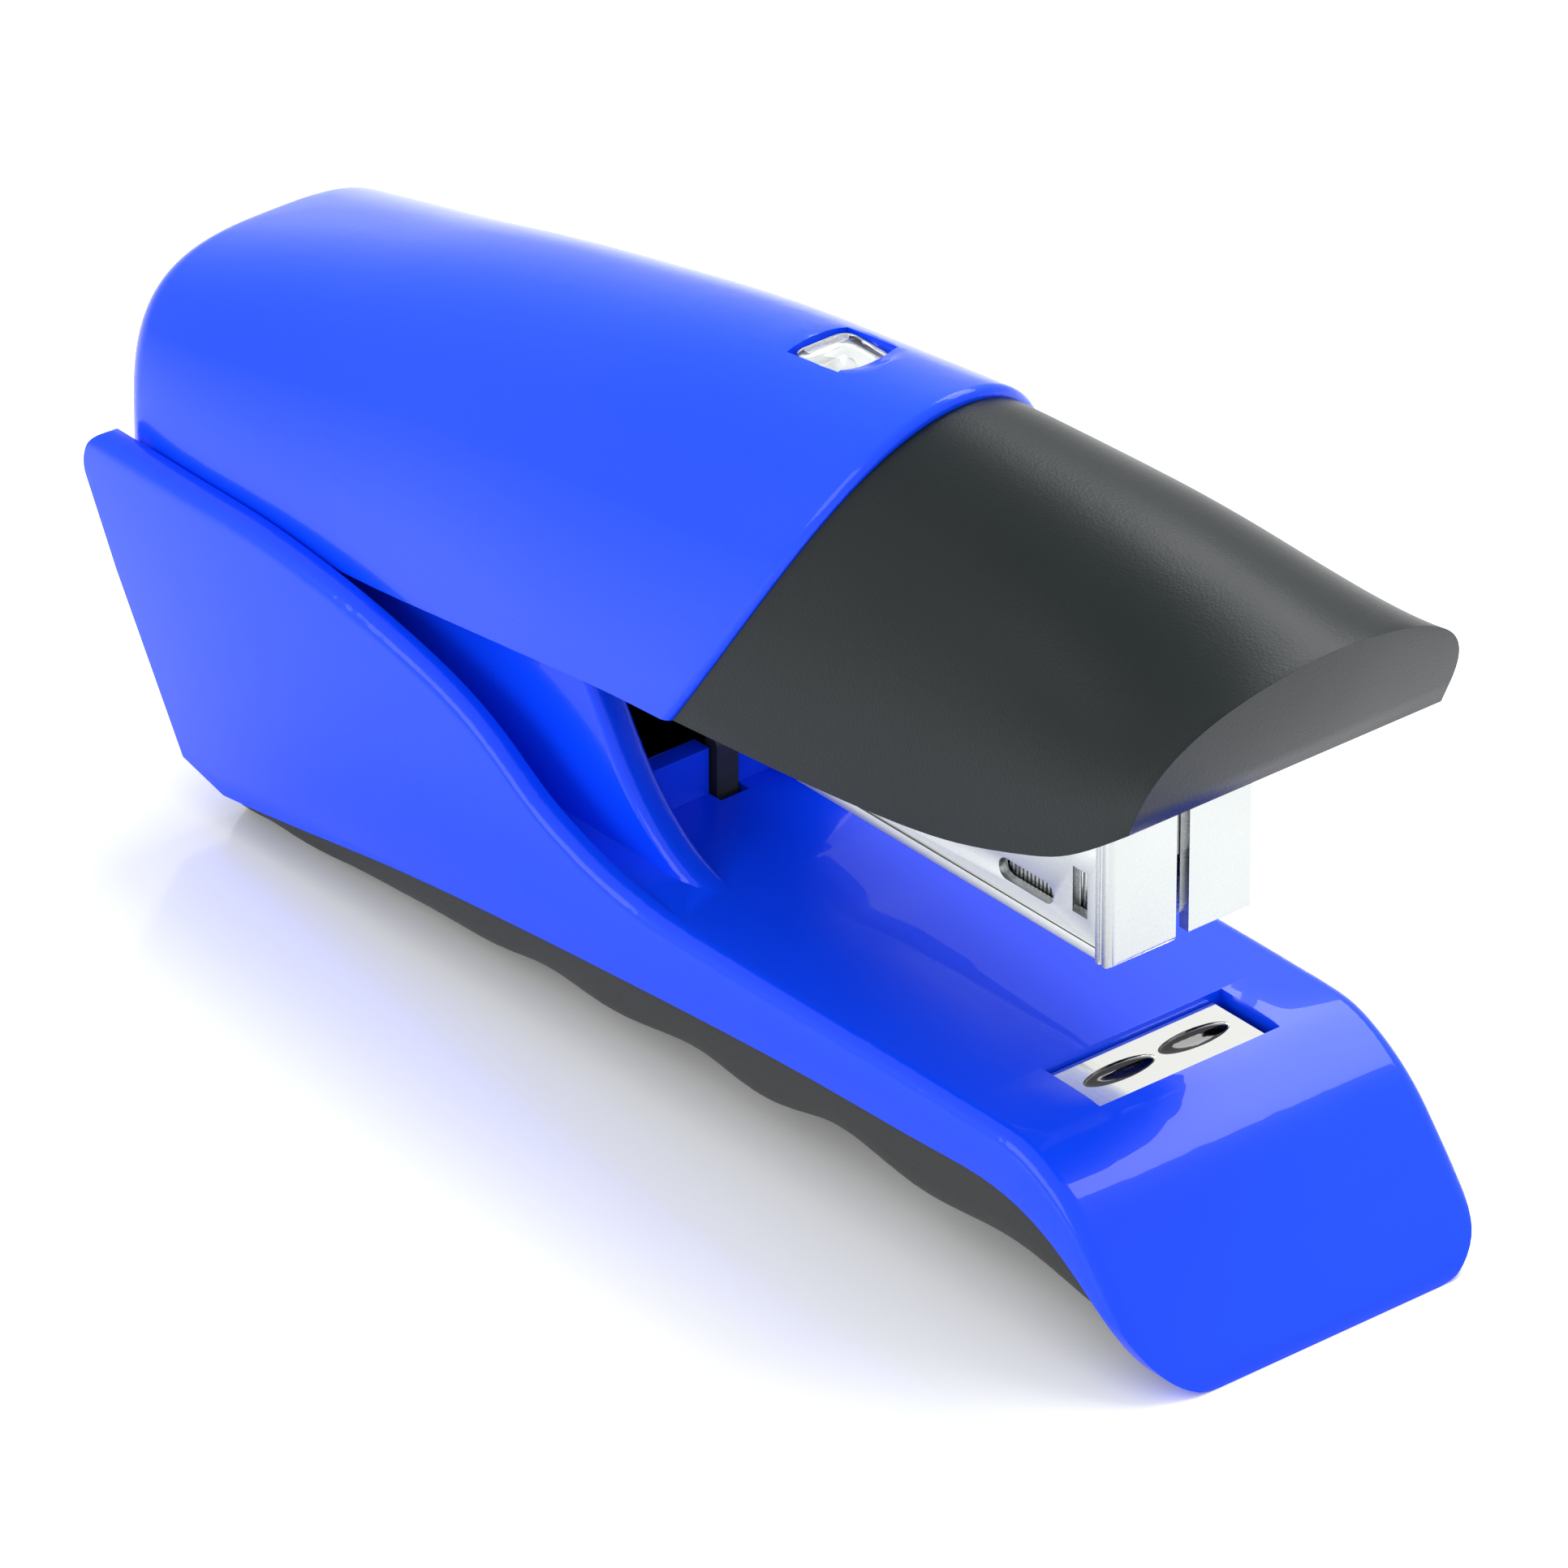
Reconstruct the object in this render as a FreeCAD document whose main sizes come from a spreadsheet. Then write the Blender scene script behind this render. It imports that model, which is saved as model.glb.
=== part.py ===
import FreeCAD, Part
import math
import os

# Cordless electric stapler, in millimetres.
# +X runs to the nose, +Y to the left side, +Z up.  The origin lies on the table under the
# middle of the base.  Every driving size is a cell of the sheet; the rest follows from them.

V = FreeCAD.Vector
doc = FreeCAD.newDocument("electric_stapler")
sheet = doc.addObject("Spreadsheet::Sheet", "Sizes")

DRIVING_SIZES = [
    ("base_length", 144.0, "heel of the wings to the front lip"),
    ("base_width", 38.0, "over both skirts"),
    ("deck_top", 18.0, "height of the paper deck"),
    ("deck_wall", 2.0, "thickness of the deck and lip"),
    ("skirt_wall", 1.6, "thickness of the skirt"),
    ("wing_wall", 2.1, "thickness of a wing above the deck"),
    ("wing_top", 32.8, "height of the wings at the rear"),
    ("edge_round", 1.7, "rounding of the long upper edges"),
    ("lip_corner", 7.0, "rounding of the lip's lower corners"),
    ("cheek_gap", 19.0, "clear width between the inner cheeks"),
    ("cheek_wall", 3.5, "thickness of a cheek"),
    ("cheek_top", 32.3, "height of the cheeks"),
    ("rear_wall_top", 23.0, "height of the wall between the wings"),
    ("stop_wall_top", 22.5, "height of the paper stop wall"),
    ("stop_wall", 2.0, "thickness of the paper stop wall"),
    ("throat_depth", 56.8, "anvil centre to the face of the paper stop wall"),
    ("pivot_setback", 22.0, "rear tip to the pivot pin"),
    ("pivot_height", 24.5, "height of the pivot pin"),
    ("pivot_dia", 4.0, "pivot pin"),
    ("running_gap", 0.05, "radial play in a bearing"),
    ("seat_gap", 0.02, "radial play of a fixed pin in its hole"),
    ("anvil_setback", 22.2, "front lip to the anvil centre"),
    ("anvil_length", 19.0, "anvil plate across the deck"),
    ("anvil_width", 7.3, "anvil plate along the deck"),
    ("anvil_thick", 1.6, "anvil plate"),
    ("anvil_sink", 0.6, "anvil face below the deck"),
    ("pocket_length", 7.7, "one clinching pocket"),
    ("pocket_width", 2.7, "one clinching pocket"),
    ("pocket_depth", 0.9, "one clinching pocket"),
    ("grip_wall", 1.6, "thickness of the underside grip"),
    ("grip_round", 5.0, "rounding of the grip's long lower edges"),
    ("screw_seat", 6.8, "height of the screw heads' seat in the grip"),
    ("trigger_height", 11.0, "height of the paper trigger's axle"),
    ("magazine_width", 15.0, "over the magazine's side walls"),
    ("magazine_wall", 1.0, "sheet of the magazine"),
    ("magazine_bottom", 30.0, "height of the magazine's underside"),
    ("magazine_height", 8.0, "height of the magazine's side walls"),
    ("magazine_length", 59.6, "magazine floor, front to rear"),
    ("casing_wall", 1.2, "front casing, front wall"),
    ("casing_side", 0.5, "front casing, side flanges"),
    ("casing_height", 27.5, "front casing"),
    ("nose_lead", 3.0, "anvil centre to the front casing's face"),
    ("slit_width", 1.4, "slit between the front flaps"),
    ("staple_crown", 12.7, "staple width over its legs"),
    ("staple_leg", 6.0, "staple leg"),
    ("staple_wire", 0.5, "staple wire"),
    ("strip_length", 40.0, "staple strip"),
    ("pusher_length", 7.0, "pusher saddle"),
    ("blade_thick", 0.5, "driver blade"),
    ("blade_width", 12.4, "driver blade"),
    ("blade_height", 26.0, "driver blade"),
    ("drive_stroke", 7.3, "driver travel inside the magazine"),
    ("press_angle", 6.5, "magazine swing down to the anvil, degrees"),
    ("lever_swing", 13.88, "drive lever half swing, degrees"),
    ("lever_thick", 3.0, "drive lever"),
    ("gear_module", 0.5, "all gears"),
    ("gear_axis_height", 51.8, "height of the gear axles"),
    ("motor_axis_height", 46.3, "height of the motor shaft"),
    ("crank_setback", 12.8, "anvil centre to the crank axle"),
    ("motor_dia", 15.5, "motor can"),
    ("motor_length", 18.0, "motor can"),
    ("cell_dia", 10.5, "one cell"),
    ("cell_length", 44.5, "one cell, with its nub"),
    ("cell_height", 40.2, "height of the cells' axes"),
    ("tray_floor", 33.4, "height of the battery tray's underside"),
    ("head_width", 34.4, "upper body over its sides"),
    ("head_rear_width", 33.0, "upper body between the wings"),
    ("crown_height", 69.7, "highest point of the upper body"),
    ("shell_wall", 1.8, "wall of the upper body"),
    ("nose_step", 0.6, "nose cover set in from the shell's lip"),
    ("lip_round", 0.8, "rounding of the shell's edge along the seam"),
    ("nose_setback", 6.7, "front lip to the nose's lower front edge"),
    ("nose_lean", 0.45, "forward lean of the nose face"),
    ("button_width", 6.3, "clear button"),
    ("button_setback", 41.0, "anvil centre to the clear button"),
    ("button_travel", 0.8, "clear button"),
    ("button_dish", 1.0, "depth of the dish round the clear button"),
    ("fit_gap", 0.2, "play round a sliding piece"),
    ("move_gap", 0.3, "play between moving bodies"),
    ("screw_dia", 2.4, "screw thread"),
    ("screw_head", 5.0, "screw head"),
]

for row, (alias, amount, note) in enumerate(DRIVING_SIZES, start=1):
    sheet.set(f"A{row}", alias)
    sheet.set(f"B{row}", str(amount))
    sheet.set(f"C{row}", note)
    sheet.setAlias(f"B{row}", alias)
doc.recompute()


class Size:
    """A length that carries both its value and the sheet formula that gives it."""

    def __init__(self, value, text):
        self.value = float(value)
        self.text = text

    def __float__(self):
        return self.value

    def join(self, sign, other, value, flipped=False):
        other = as_size(other)
        first, second = (other.text, self.text) if flipped else (self.text, other.text)
        return Size(value, f"({first} {sign} {second})")

    def __add__(self, other):
        return self.join("+", other, self.value + float(other))

    def __radd__(self, other):
        return self.join("+", other, float(other) + self.value, flipped=True)

    def __sub__(self, other):
        return self.join("-", other, self.value - float(other))

    def __rsub__(self, other):
        return self.join("-", other, float(other) - self.value, flipped=True)

    def __mul__(self, other):
        return self.join("*", other, self.value * float(other))

    def __rmul__(self, other):
        return self.join("*", other, float(other) * self.value, flipped=True)

    def __truediv__(self, other):
        return self.join("/", other, self.value / float(other))

    def __neg__(self):
        return Size(-self.value, f"(0 - {self.text})")


def as_size(number):
    return number if isinstance(number, Size) else Size(number, repr(float(number)))


class Sizes:
    """The sheet's cells as Size values, one attribute for each alias."""


s = Sizes()
for alias, amount, note in DRIVING_SIZES:
    setattr(s, alias, Size(sheet.get(alias), "Sizes." + alias))

# ---------------------------------------------------------------- derived places
front_x = s.base_length / 2
rear_x = -front_x
half_width = s.base_width / 2
deck_under = s.deck_top - s.deck_wall
anvil_x = front_x - s.anvil_setback
stop_face_x = anvil_x - s.throat_depth
pivot_x = rear_x + s.pivot_setback
pin_radius = s.pivot_dia / 2
cheek_inner = s.cheek_gap / 2
cheek_outer = cheek_inner + s.cheek_wall
wing_inner = half_width - s.wing_wall
skirt_inner = half_width - s.skirt_wall

magazine_half = s.magazine_width / 2
magazine_inner = magazine_half - s.magazine_wall
magazine_front = anvil_x + s.nose_lead
channel_front = magazine_front - s.casing_wall
channel_rear = channel_front - s.magazine_length
channel_floor = s.magazine_bottom + s.magazine_wall
channel_top = s.magazine_bottom + s.magazine_height
blade_x = channel_front - s.fit_gap / 2 - s.blade_thick
casing_top = s.magazine_bottom - 0.1 + s.casing_height

# Tooth counts of the reduction: motor pinion, two compound gears, crank gear.
PINION_TEETH = 10
WHEEL_TEETH = 34
SMALL_TEETH = 10
LAST_SMALL_TEETH = 12
CRANK_TEETH = 40
PRESSURE_ANGLE = math.radians(25.0)
STUB_ADDENDUM = 0.8
TOOTH_BACKLASH = 0.10

crank_x = anvil_x - s.crank_setback
crank_centres = s.gear_module * ((LAST_SMALL_TEETH + CRANK_TEETH) / 2)
wheel_centres = s.gear_module * ((SMALL_TEETH + WHEEL_TEETH) / 2)
second_x = crank_x - crank_centres
first_x = second_x - wheel_centres
motor_drop = s.gear_axis_height - s.motor_axis_height
motor_reach = math.sqrt(float(wheel_centres) ** 2 - float(motor_drop) ** 2)
motor_reach_text = f"sqrt({wheel_centres.text} ^ 2 - {motor_drop.text} ^ 2)"
motor_x = first_x - Size(motor_reach, motor_reach_text)
motor_direction = math.atan2(float(motor_drop), motor_reach)

# Gear planes, counted outwards from the drive lever in the middle.
lever_half = s.lever_thick / 2
crank_plane = lever_half + 0.7
crank_face = 2.2
second_plane = crank_plane + crank_face + 0.5
wheel_face = 1.4
first_plane = second_plane + wheel_face + 0.5
first_plane_end = first_plane + wheel_face
plate_inner = first_plane_end + 1.0
plate_thick = 1.0
plate_outer = plate_inner + plate_thick
left_plate_inner = lever_half + 1.7
left_plate_outer = left_plate_inner + plate_thick
axle_radius = 1.0
crank_axle_radius = 1.5
crank_pin_radius = 1.5

lever_tan = math.tan(math.radians(float(s.lever_swing)))
lever_reach = blade_x + s.blade_thick / 2 - first_x
crank_radius = float(crank_x - first_x) * lever_tan
tip_rise = float(lever_reach) * lever_tan

frame_side = magazine_half + 0.9
frame_sheet = 0.8
frame_outer = frame_side + frame_sheet

head_half = s.head_width / 2
head_rear_half = s.head_rear_width / 2
head_rear_x = rear_x + 1.5
nose_edge_x = front_x - s.nose_setback
cells_rear_x = pivot_x - 13.5
tray_end_x = cells_rear_x + s.cell_length + 0.9
button_x = anvil_x - s.button_setback

trigger_x = stop_face_x - 0.2
trigger_z = s.trigger_height
switch_x = trigger_x - 9.0
screw_rear_x = pivot_x + 10.0
screw_front_x = anvil_x - 14.0
screw_y = cheek_outer - 0.6
boss_bottom = s.screw_seat + 1.8
rod_height = channel_floor + 2.4
rod_radius = 0.7
blade_low = channel_floor + 0.1 + s.staple_leg + 0.3
strip_front = blade_x - 0.15
strip_rear = strip_front - s.strip_length
board_z = s.gear_axis_height + 9.1
door_half = 11.0
door_low = s.tray_floor + 0.4
door_high = door_low + 11.0

NODES = {}


# ---------------------------------------------------------------- helpers
def keep(name, thing):
    """Names a finished sub-part; its label is its file name."""
    thing.Label = name
    NODES[name] = thing
    return thing


def bind(thing, **formulas):
    """Ties properties of a document object to the sheet."""
    for prop, amount in formulas.items():
        thing.setExpression(prop.replace("__", "."), as_size(amount).text)
    return thing


def block(label, x, y, z, length, width, height):
    box = doc.addObject("Part::Box", label)
    box.Label = label
    places = {"Placement__Base__x": x, "Placement__Base__y": y, "Placement__Base__z": z}
    return bind(box, Length=length, Width=width, Height=height, **places)


TURNS = {"x": FreeCAD.Rotation(V(0, 1, 0), 90), "y": FreeCAD.Rotation(V(1, 0, 0), -90),
         "z": FreeCAD.Rotation()}


def bar(label, axis, x, y, z, length, radius):
    """A round bar that starts at x, y, z and runs along +axis."""
    cylinder = doc.addObject("Part::Cylinder", label)
    cylinder.Label = label
    cylinder.Placement = FreeCAD.Placement(V(0, 0, 0), TURNS[axis])
    places = {"Placement__Base__x": x, "Placement__Base__y": y, "Placement__Base__z": z}
    return bind(cylinder, Radius=radius, Height=length, **places)


def fuse(label, pieces):
    union = doc.addObject("Part::MultiFuse", label)
    union.Label = label
    union.Shapes = pieces
    return union


def cut(label, base, tool):
    difference = doc.addObject("Part::Cut", label)
    difference.Label = label
    difference.Base = base
    difference.Tool = tool
    return difference


def group(label, pieces):
    """Separate solids that share one node."""
    compound = doc.addObject("Part::Compound", label)
    compound.Label = label
    compound.Links = pieces
    return compound


def feature(name, shape):
    """A sub-part whose shape is worked out below."""
    thing = doc.addObject("Part::Feature", name)
    thing.Shape = shape
    thing.Placement = shape.Placement
    return keep(name, thing)


def points_xz(pairs, y=0.0):
    return [V(float(x), float(y), float(z)) for x, z in pairs]


def prism(pairs, y_low, y_high):
    """A polygon in the XZ plane, drawn out along Y."""
    outline = Part.makePolygon(points_xz(pairs + pairs[:1], y_low))
    return Part.Face(outline).extrude(V(0, float(y_high) - float(y_low), 0))


def solid_box(x_low, x_high, y_low, y_high, z_low, z_high):
    x_low, x_high, y_low, y_high, z_low, z_high = (
        float(edge) for edge in (x_low, x_high, y_low, y_high, z_low, z_high))
    corner = V(x_low, y_low, z_low)
    return Part.makeBox(x_high - x_low, y_high - y_low, z_high - z_low, corner)


def solid_bar(axis, x, y, z, length, radius):
    way = {"x": V(1, 0, 0), "y": V(0, 1, 0), "z": V(0, 0, 1)}[axis]
    return Part.makeCylinder(float(radius), float(length), V(float(x), float(y), float(z)), way)


def spline(points, start=None, end=None):
    curve = Part.BSplineCurve()
    if start is None:
        curve.interpolate(Points=points)
    else:
        curve.interpolate(Points=points, InitialTangent=start, FinalTangent=end)
    return curve.toShape()


def line(first, second):
    return Part.LineSegment(first, second).toShape()


def smooth(pairs, x):
    """Reads a smooth curve through a few pairs of numbers at x."""
    x = min(max(x, pairs[0][0]), pairs[-1][0])
    slopes = []
    for index in range(len(pairs)):
        low = pairs[max(index - 1, 0)]
        high = pairs[min(index + 1, len(pairs) - 1)]
        slopes.append((high[1] - low[1]) / (high[0] - low[0]))
    for index in range(len(pairs) - 1):
        (x0, y0), (x1, y1) = pairs[index], pairs[index + 1]
        if x <= x1:
            span = x1 - x0
            t = (x - x0) / span
            part_a = (2 * t ** 3 - 3 * t ** 2 + 1) * y0 + (t ** 3 - 2 * t ** 2 + t) * span * slopes[index]
            part_b = (3 * t ** 2 - 2 * t ** 3) * y1 + (t ** 3 - t ** 2) * span * slopes[index + 1]
            return part_a + part_b
    return pairs[-1][1]


def spread(low, high, count):
    return [low + (high - low) * index / count for index in range(count + 1)]


def edges_where(shape, test):
    return [edge for edge in shape.Edges if test(edge)]


def single(shape):
    """The one solid that a boolean leaves."""
    return shape.Solids[0] if len(shape.Solids) == 1 else shape


# ---------------------------------------------------------------- base shell
def lip_points(shift_x, shift_z):
    """The front lip, from the deck's end down to the table, set in by the given shift."""
    steps = [(20.5, 18.0), (16.3, 17.1), (11.2, 14.0), (7.4, 9.9), (4.4, 6.1), (1.6, 2.6)]
    rise = float(s.deck_top) / 18.0
    return [(float(front_x) - back - shift_x, up * rise - shift_z) for back, up in steps]


def wing_points():
    """The upper edge of a wing, from its rear corner to where it meets the deck."""
    x0 = float(rear_x)
    top = float(s.wing_top)
    deck = float(s.deck_top)
    shares = [(-2.0, 1.0), (5.0, 1.0), (12.0, 0.995), (23.0, 0.99), (31.0, 0.945), (38.0, 0.88),
              (46.0, 0.77), (52.0, 0.65), (57.0, 0.49), (61.5, 0.31), (67.0, 0.155), (73.0, 0.05),
              (80.0, 0.0)]
    return [(x0 + along, deck + (top - deck) * share) for along, share in shares]


def skirt_points():
    """The skirt's lower edge, from the front lip back to the heel."""
    x1 = float(front_x)
    x0 = float(rear_x)
    return [(x1 - 2.6, 0.0), (x1 - 5.2, 4.2), (x1 - 9.9, 8.0), (x1 - 15.0, 10.9), (x1 - 20.5, 12.4),
            (x1 - 29.4, 12.4), (x1 - 42.2, 12.0), (x0 + 79.0, 10.6), (x0 + 56.7, 8.7),
            (x0 + 40.9, 6.9), (x0 + 27.0, 4.8), (x0 + 19.1, 3.8)]


def corner_relief(radius):
    """What the rounded lower corners of the lip take away, on both sides."""
    centre_y = float(half_width) - float(s.lip_corner)
    low_x = float(front_x) - 27.0
    reach = 30.0
    cuts = []
    for side in (-1, 1):
        near, far = sorted((side * centre_y, side * (centre_y + 12.0)))
        corner = solid_box(low_x, low_x + reach, near, far, -6.0, s.lip_corner)
        cuts.append(corner.cut(solid_bar("x", low_x, side * centre_y, s.lip_corner, reach, radius)))
    return cuts[0].fuse(cuts[1])


def top_edge(x):
    """Height of the base's upper surface: wing, deck, then lip."""
    pairs = wing_points() + lip_points(0, 0) + [(float(front_x), 0.5), (float(front_x) + 2.0, -1.6)]
    return smooth(pairs, x)


def hull_section(x):
    """A section of the base block with rounded upper corners."""
    half = float(half_width)
    high = top_edge(x)
    radius = float(s.edge_round)
    low = -8.0
    mid = radius * math.sqrt(0.5)

    def at(y, z):
        return V(x, y, z)

    edges = [
        line(at(-half, low), at(-half, high - radius)),
        Part.Arc(at(-half, high - radius), at(-half + radius - mid, high - radius + mid),
                 at(-half + radius, high)).toShape(),
        line(at(-half + radius, high), at(half - radius, high)),
        Part.Arc(at(half - radius, high), at(half - radius + mid, high - radius + mid),
                 at(half, high - radius)).toShape(),
        line(at(half, high - radius), at(half, low)),
        line(at(half, low), at(-half, low)),
    ]
    return Part.Wire(edges)


def base_hull():
    """The full-width block that the wings, deck, lip and skirt are cut from."""
    y = -float(half_width)
    deck_end = float(front_x) - 20.5
    stations = spread(float(rear_x) - 1.0, deck_end, 30)
    stations += spread(deck_end, float(front_x) + 1.0, 12)[1:]
    block_shape = Part.makeLoft([hull_section(x) for x in stations], True, False)
    skirt = points_xz(skirt_points(), y)
    above = float(s.wing_top) + 20.0
    toe = V(float(front_x), y, 0.0)
    heel = V(float(rear_x) + 13.4, y, 5.2)
    bend = V(float(rear_x) + 4.4, y, 20.2)
    tip = V(float(rear_x) + 0.2, y, float(s.wing_top) - 4.6)
    corner = V(float(rear_x) + 2.8, y, float(s.wing_top) + 0.1)
    edges = [
        line(V(float(front_x), y, above), toe),
        line(toe, skirt[0]),
        spline(skirt),
        line(skirt[-1], heel),
        line(heel, bend),
        line(bend, tip),
        spline([tip, corner], V(-0.43, 0, 1), V(1, 0, 0.15)),
        line(corner, V(corner.x, y, above)),
        line(V(corner.x, y, above), V(float(front_x), y, above)),
    ]
    side = Part.Face(Part.Wire(edges)).extrude(V(0, float(s.base_width), 0))
    return block_shape.common(side)


def middle(edge):
    return edge.valueAt((edge.FirstParameter + edge.LastParameter) / 2)


def base_hollow():
    """The space inside the base, open at the bottom."""
    x0 = float(rear_x)
    under = float(deck_under)
    y = -float(skirt_inner)
    lip = lip_points(1.6, 1.5)
    lip[0] = (lip[0][0], under)
    lip = points_xz(lip + [(float(front_x) - 2.5, 0.3)], y)
    sharp = [V(float(front_x) - 2.5, y, -5.0), V(x0 + 16.4, y, -5.0), V(x0 + 16.1, y, 5.4),
             V(x0 + 9.4, y, under)]
    edges = [spline(lip, V(1, 0, 0), V(0.6, 0, -1)), line(lip[-1], sharp[0])]
    edges += [line(sharp[index], sharp[index + 1]) for index in range(3)]
    edges.append(line(sharp[3], lip[0]))
    hollow = Part.Face(Part.Wire(edges)).extrude(V(0, 2 * float(skirt_inner), 0))
    inner_radius = float(s.lip_corner) - float(s.skirt_wall)
    return hollow.cut(corner_relief(inner_radius))


def cheek(side):
    """An inner wall that carries the pivot pin; its front runs down into the deck."""
    x0 = float(pivot_x)
    front = float(stop_face_x)
    top = float(s.cheek_top)
    deck = float(s.deck_top)
    low = float(deck_under)
    y = float(cheek_inner) if side > 0 else -float(cheek_outer)
    drop = top - deck
    curve = [(-2.4, 1.0), (-0.6, 0.80), (2.2, 0.51), (5.3, 0.27), (9.0, 0.09), (14.5, 0.0)]
    face_points = points_xz([(front + along, deck + drop * up) for along, up in curve], y)
    corners = points_xz([(front + 14.5, low), (x0 - 6.0, low), (x0 - 6.0, s.pivot_height + 1.0),
                         (x0 - 3.0, s.pivot_height + 4.2), (x0 + 3.5, s.pivot_height + 4.2),
                         (x0 + 8.0, top)], y)
    edges = [spline(face_points), line(face_points[-1], corners[0])]
    edges += [line(corners[index], corners[index + 1]) for index in range(5)]
    edges.append(line(corners[5], face_points[0]))
    wall = Part.Face(Part.Wire(edges)).extrude(V(0, float(s.cheek_wall), 0))
    rounded = edges_where(wall, lambda e: middle(e).x > front - 1.0 and middle(e).z > deck + 1.0
                          and abs(e.Vertexes[0].Y - e.Vertexes[-1].Y) < 1e-6)
    return wall.makeFillet(1.2, rounded)


def screw_positions():
    return [(x, screw_y * side) for x in (screw_rear_x, screw_front_x) for side in (-1, 1)]


def base_shell():
    shell = base_hull()
    deck = float(s.deck_top)
    trough_y = float(wing_inner)
    open_rear = float(rear_x) - 2.0
    shell = shell.cut(solid_box(open_rear, float(rear_x) + 84.0, -trough_y, trough_y,
                                s.rear_wall_top, 60.0))
    shell = shell.cut(solid_box(float(rear_x) + 7.5, float(rear_x) + 84.0, -trough_y, trough_y,
                                deck, s.rear_wall_top + 1.0))
    shell = shell.cut(base_hollow())
    shell = shell.cut(corner_relief(s.lip_corner))
    for side in (-1, 1):
        shell = shell.fuse(cheek(side))
    stop_x = float(stop_face_x)
    shell = shell.cut(solid_box(pivot_x - 12.0, stop_x - float(s.stop_wall), -cheek_inner,
                                cheek_inner, deck_under - 1.0, deck + 1.0))
    shell = shell.fuse(solid_box(stop_x - float(s.stop_wall), stop_x, -cheek_inner, cheek_inner,
                                 deck_under, s.stop_wall_top))
    bed = solid_box(anvil_x - 5.3, anvil_x + 5.2, -12.5, 12.5, deck_under - 2.2, deck_under + 0.1)
    shell = shell.fuse(bed)
    for x, y in screw_positions():
        boss = solid_bar("z", x, y, boss_bottom, deck_under - boss_bottom + 0.2, 2.9)
        shell = shell.fuse(boss)
        pilot = solid_bar("z", x, y, boss_bottom - 1.0, 7.0, s.screw_dia / 2 + s.seat_gap)
        shell = shell.cut(pilot)
    for side in (-1, 1):
        near, far = sorted((side * 1.8, side * 3.4))
        lug = solid_box(trigger_x - 2.2, trigger_x + 2.2, near, far, trigger_z - 2.2,
                        deck_under + 0.1)
        shell = shell.fuse(lug)
    shell = shell.cut(solid_bar("y", trigger_x, -4.0, trigger_z, 8.0, 1.0 + float(s.seat_gap)))
    shell = shell.cut(solid_box(stop_x - 3.5, trigger_x + 1.8, -1.6, 1.6, deck_under - 0.5,
                                s.stop_wall_top + 1.0))
    recess_top = deck + 1.0
    recess_low = s.deck_top - s.anvil_sink - s.anvil_thick
    gap = 0.1
    recess = solid_box(anvil_x - s.anvil_width / 2 - gap, anvil_x + s.anvil_width / 2 + gap,
                       -(s.anvil_length / 2) - gap, s.anvil_length / 2 + 1.0, recess_low,
                       recess_top)
    shell = shell.cut(recess)
    pin_hole = solid_bar("y", pivot_x, -float(half_width) + 2.5, s.pivot_height,
                         float(s.base_width) - 5.0, pin_radius + s.seat_gap)
    return feature("base_shell", single(shell.cut(pin_hole)))


# ---------------------------------------------------------------- underside grip
def grip_bottom(x):
    """Height of the grip's underside, arched, with four finger hollows.

    The heel lies a little low here, and is then cut off flat at the table.
    """
    sunk = -0.3
    x0 = float(rear_x)
    x1 = float(front_x)
    pairs = [(x0 + 16.0, sunk), (x0 + 27.0, sunk), (x0 + 33.0, 0.3), (x0 + 46.0, 1.1), (x0 + 52.0, 1.3),
             (x0 + 60.0, 2.4), (x0 + 69.0, 2.1), (x1 - 64.0, 3.5), (x1 - 55.0, 2.8), (x1 - 45.0, 4.5),
             (x1 - 34.0, 3.3), (x1 - 22.0, 4.0), (x1 - 12.0, 2.5), (x1 - 4.0, 0.9)]
    return sunk if x < x0 + 27.0 else smooth(pairs, x)


def grip_section(x, half, low, high, radius):
    """A U-shaped section with rounded lower corners."""
    def at(y, z):
        return V(x, y, z)
    mid = radius * math.sqrt(0.5)
    edges = [
        line(at(-half, high), at(-half, low + radius)),
        Part.Arc(at(-half, low + radius), at(-half + radius - mid, low + radius - mid),
                 at(-half + radius, low)).toShape(),
        line(at(-half + radius, low), at(half - radius, low)),
        Part.Arc(at(half - radius, low), at(half - radius + mid, low + radius - mid),
                 at(half, low + radius)).toShape(),
        line(at(half, low + radius), at(half, high)),
        line(at(half, high), at(-half, high)),
    ]
    return Part.Wire(edges)


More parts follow.
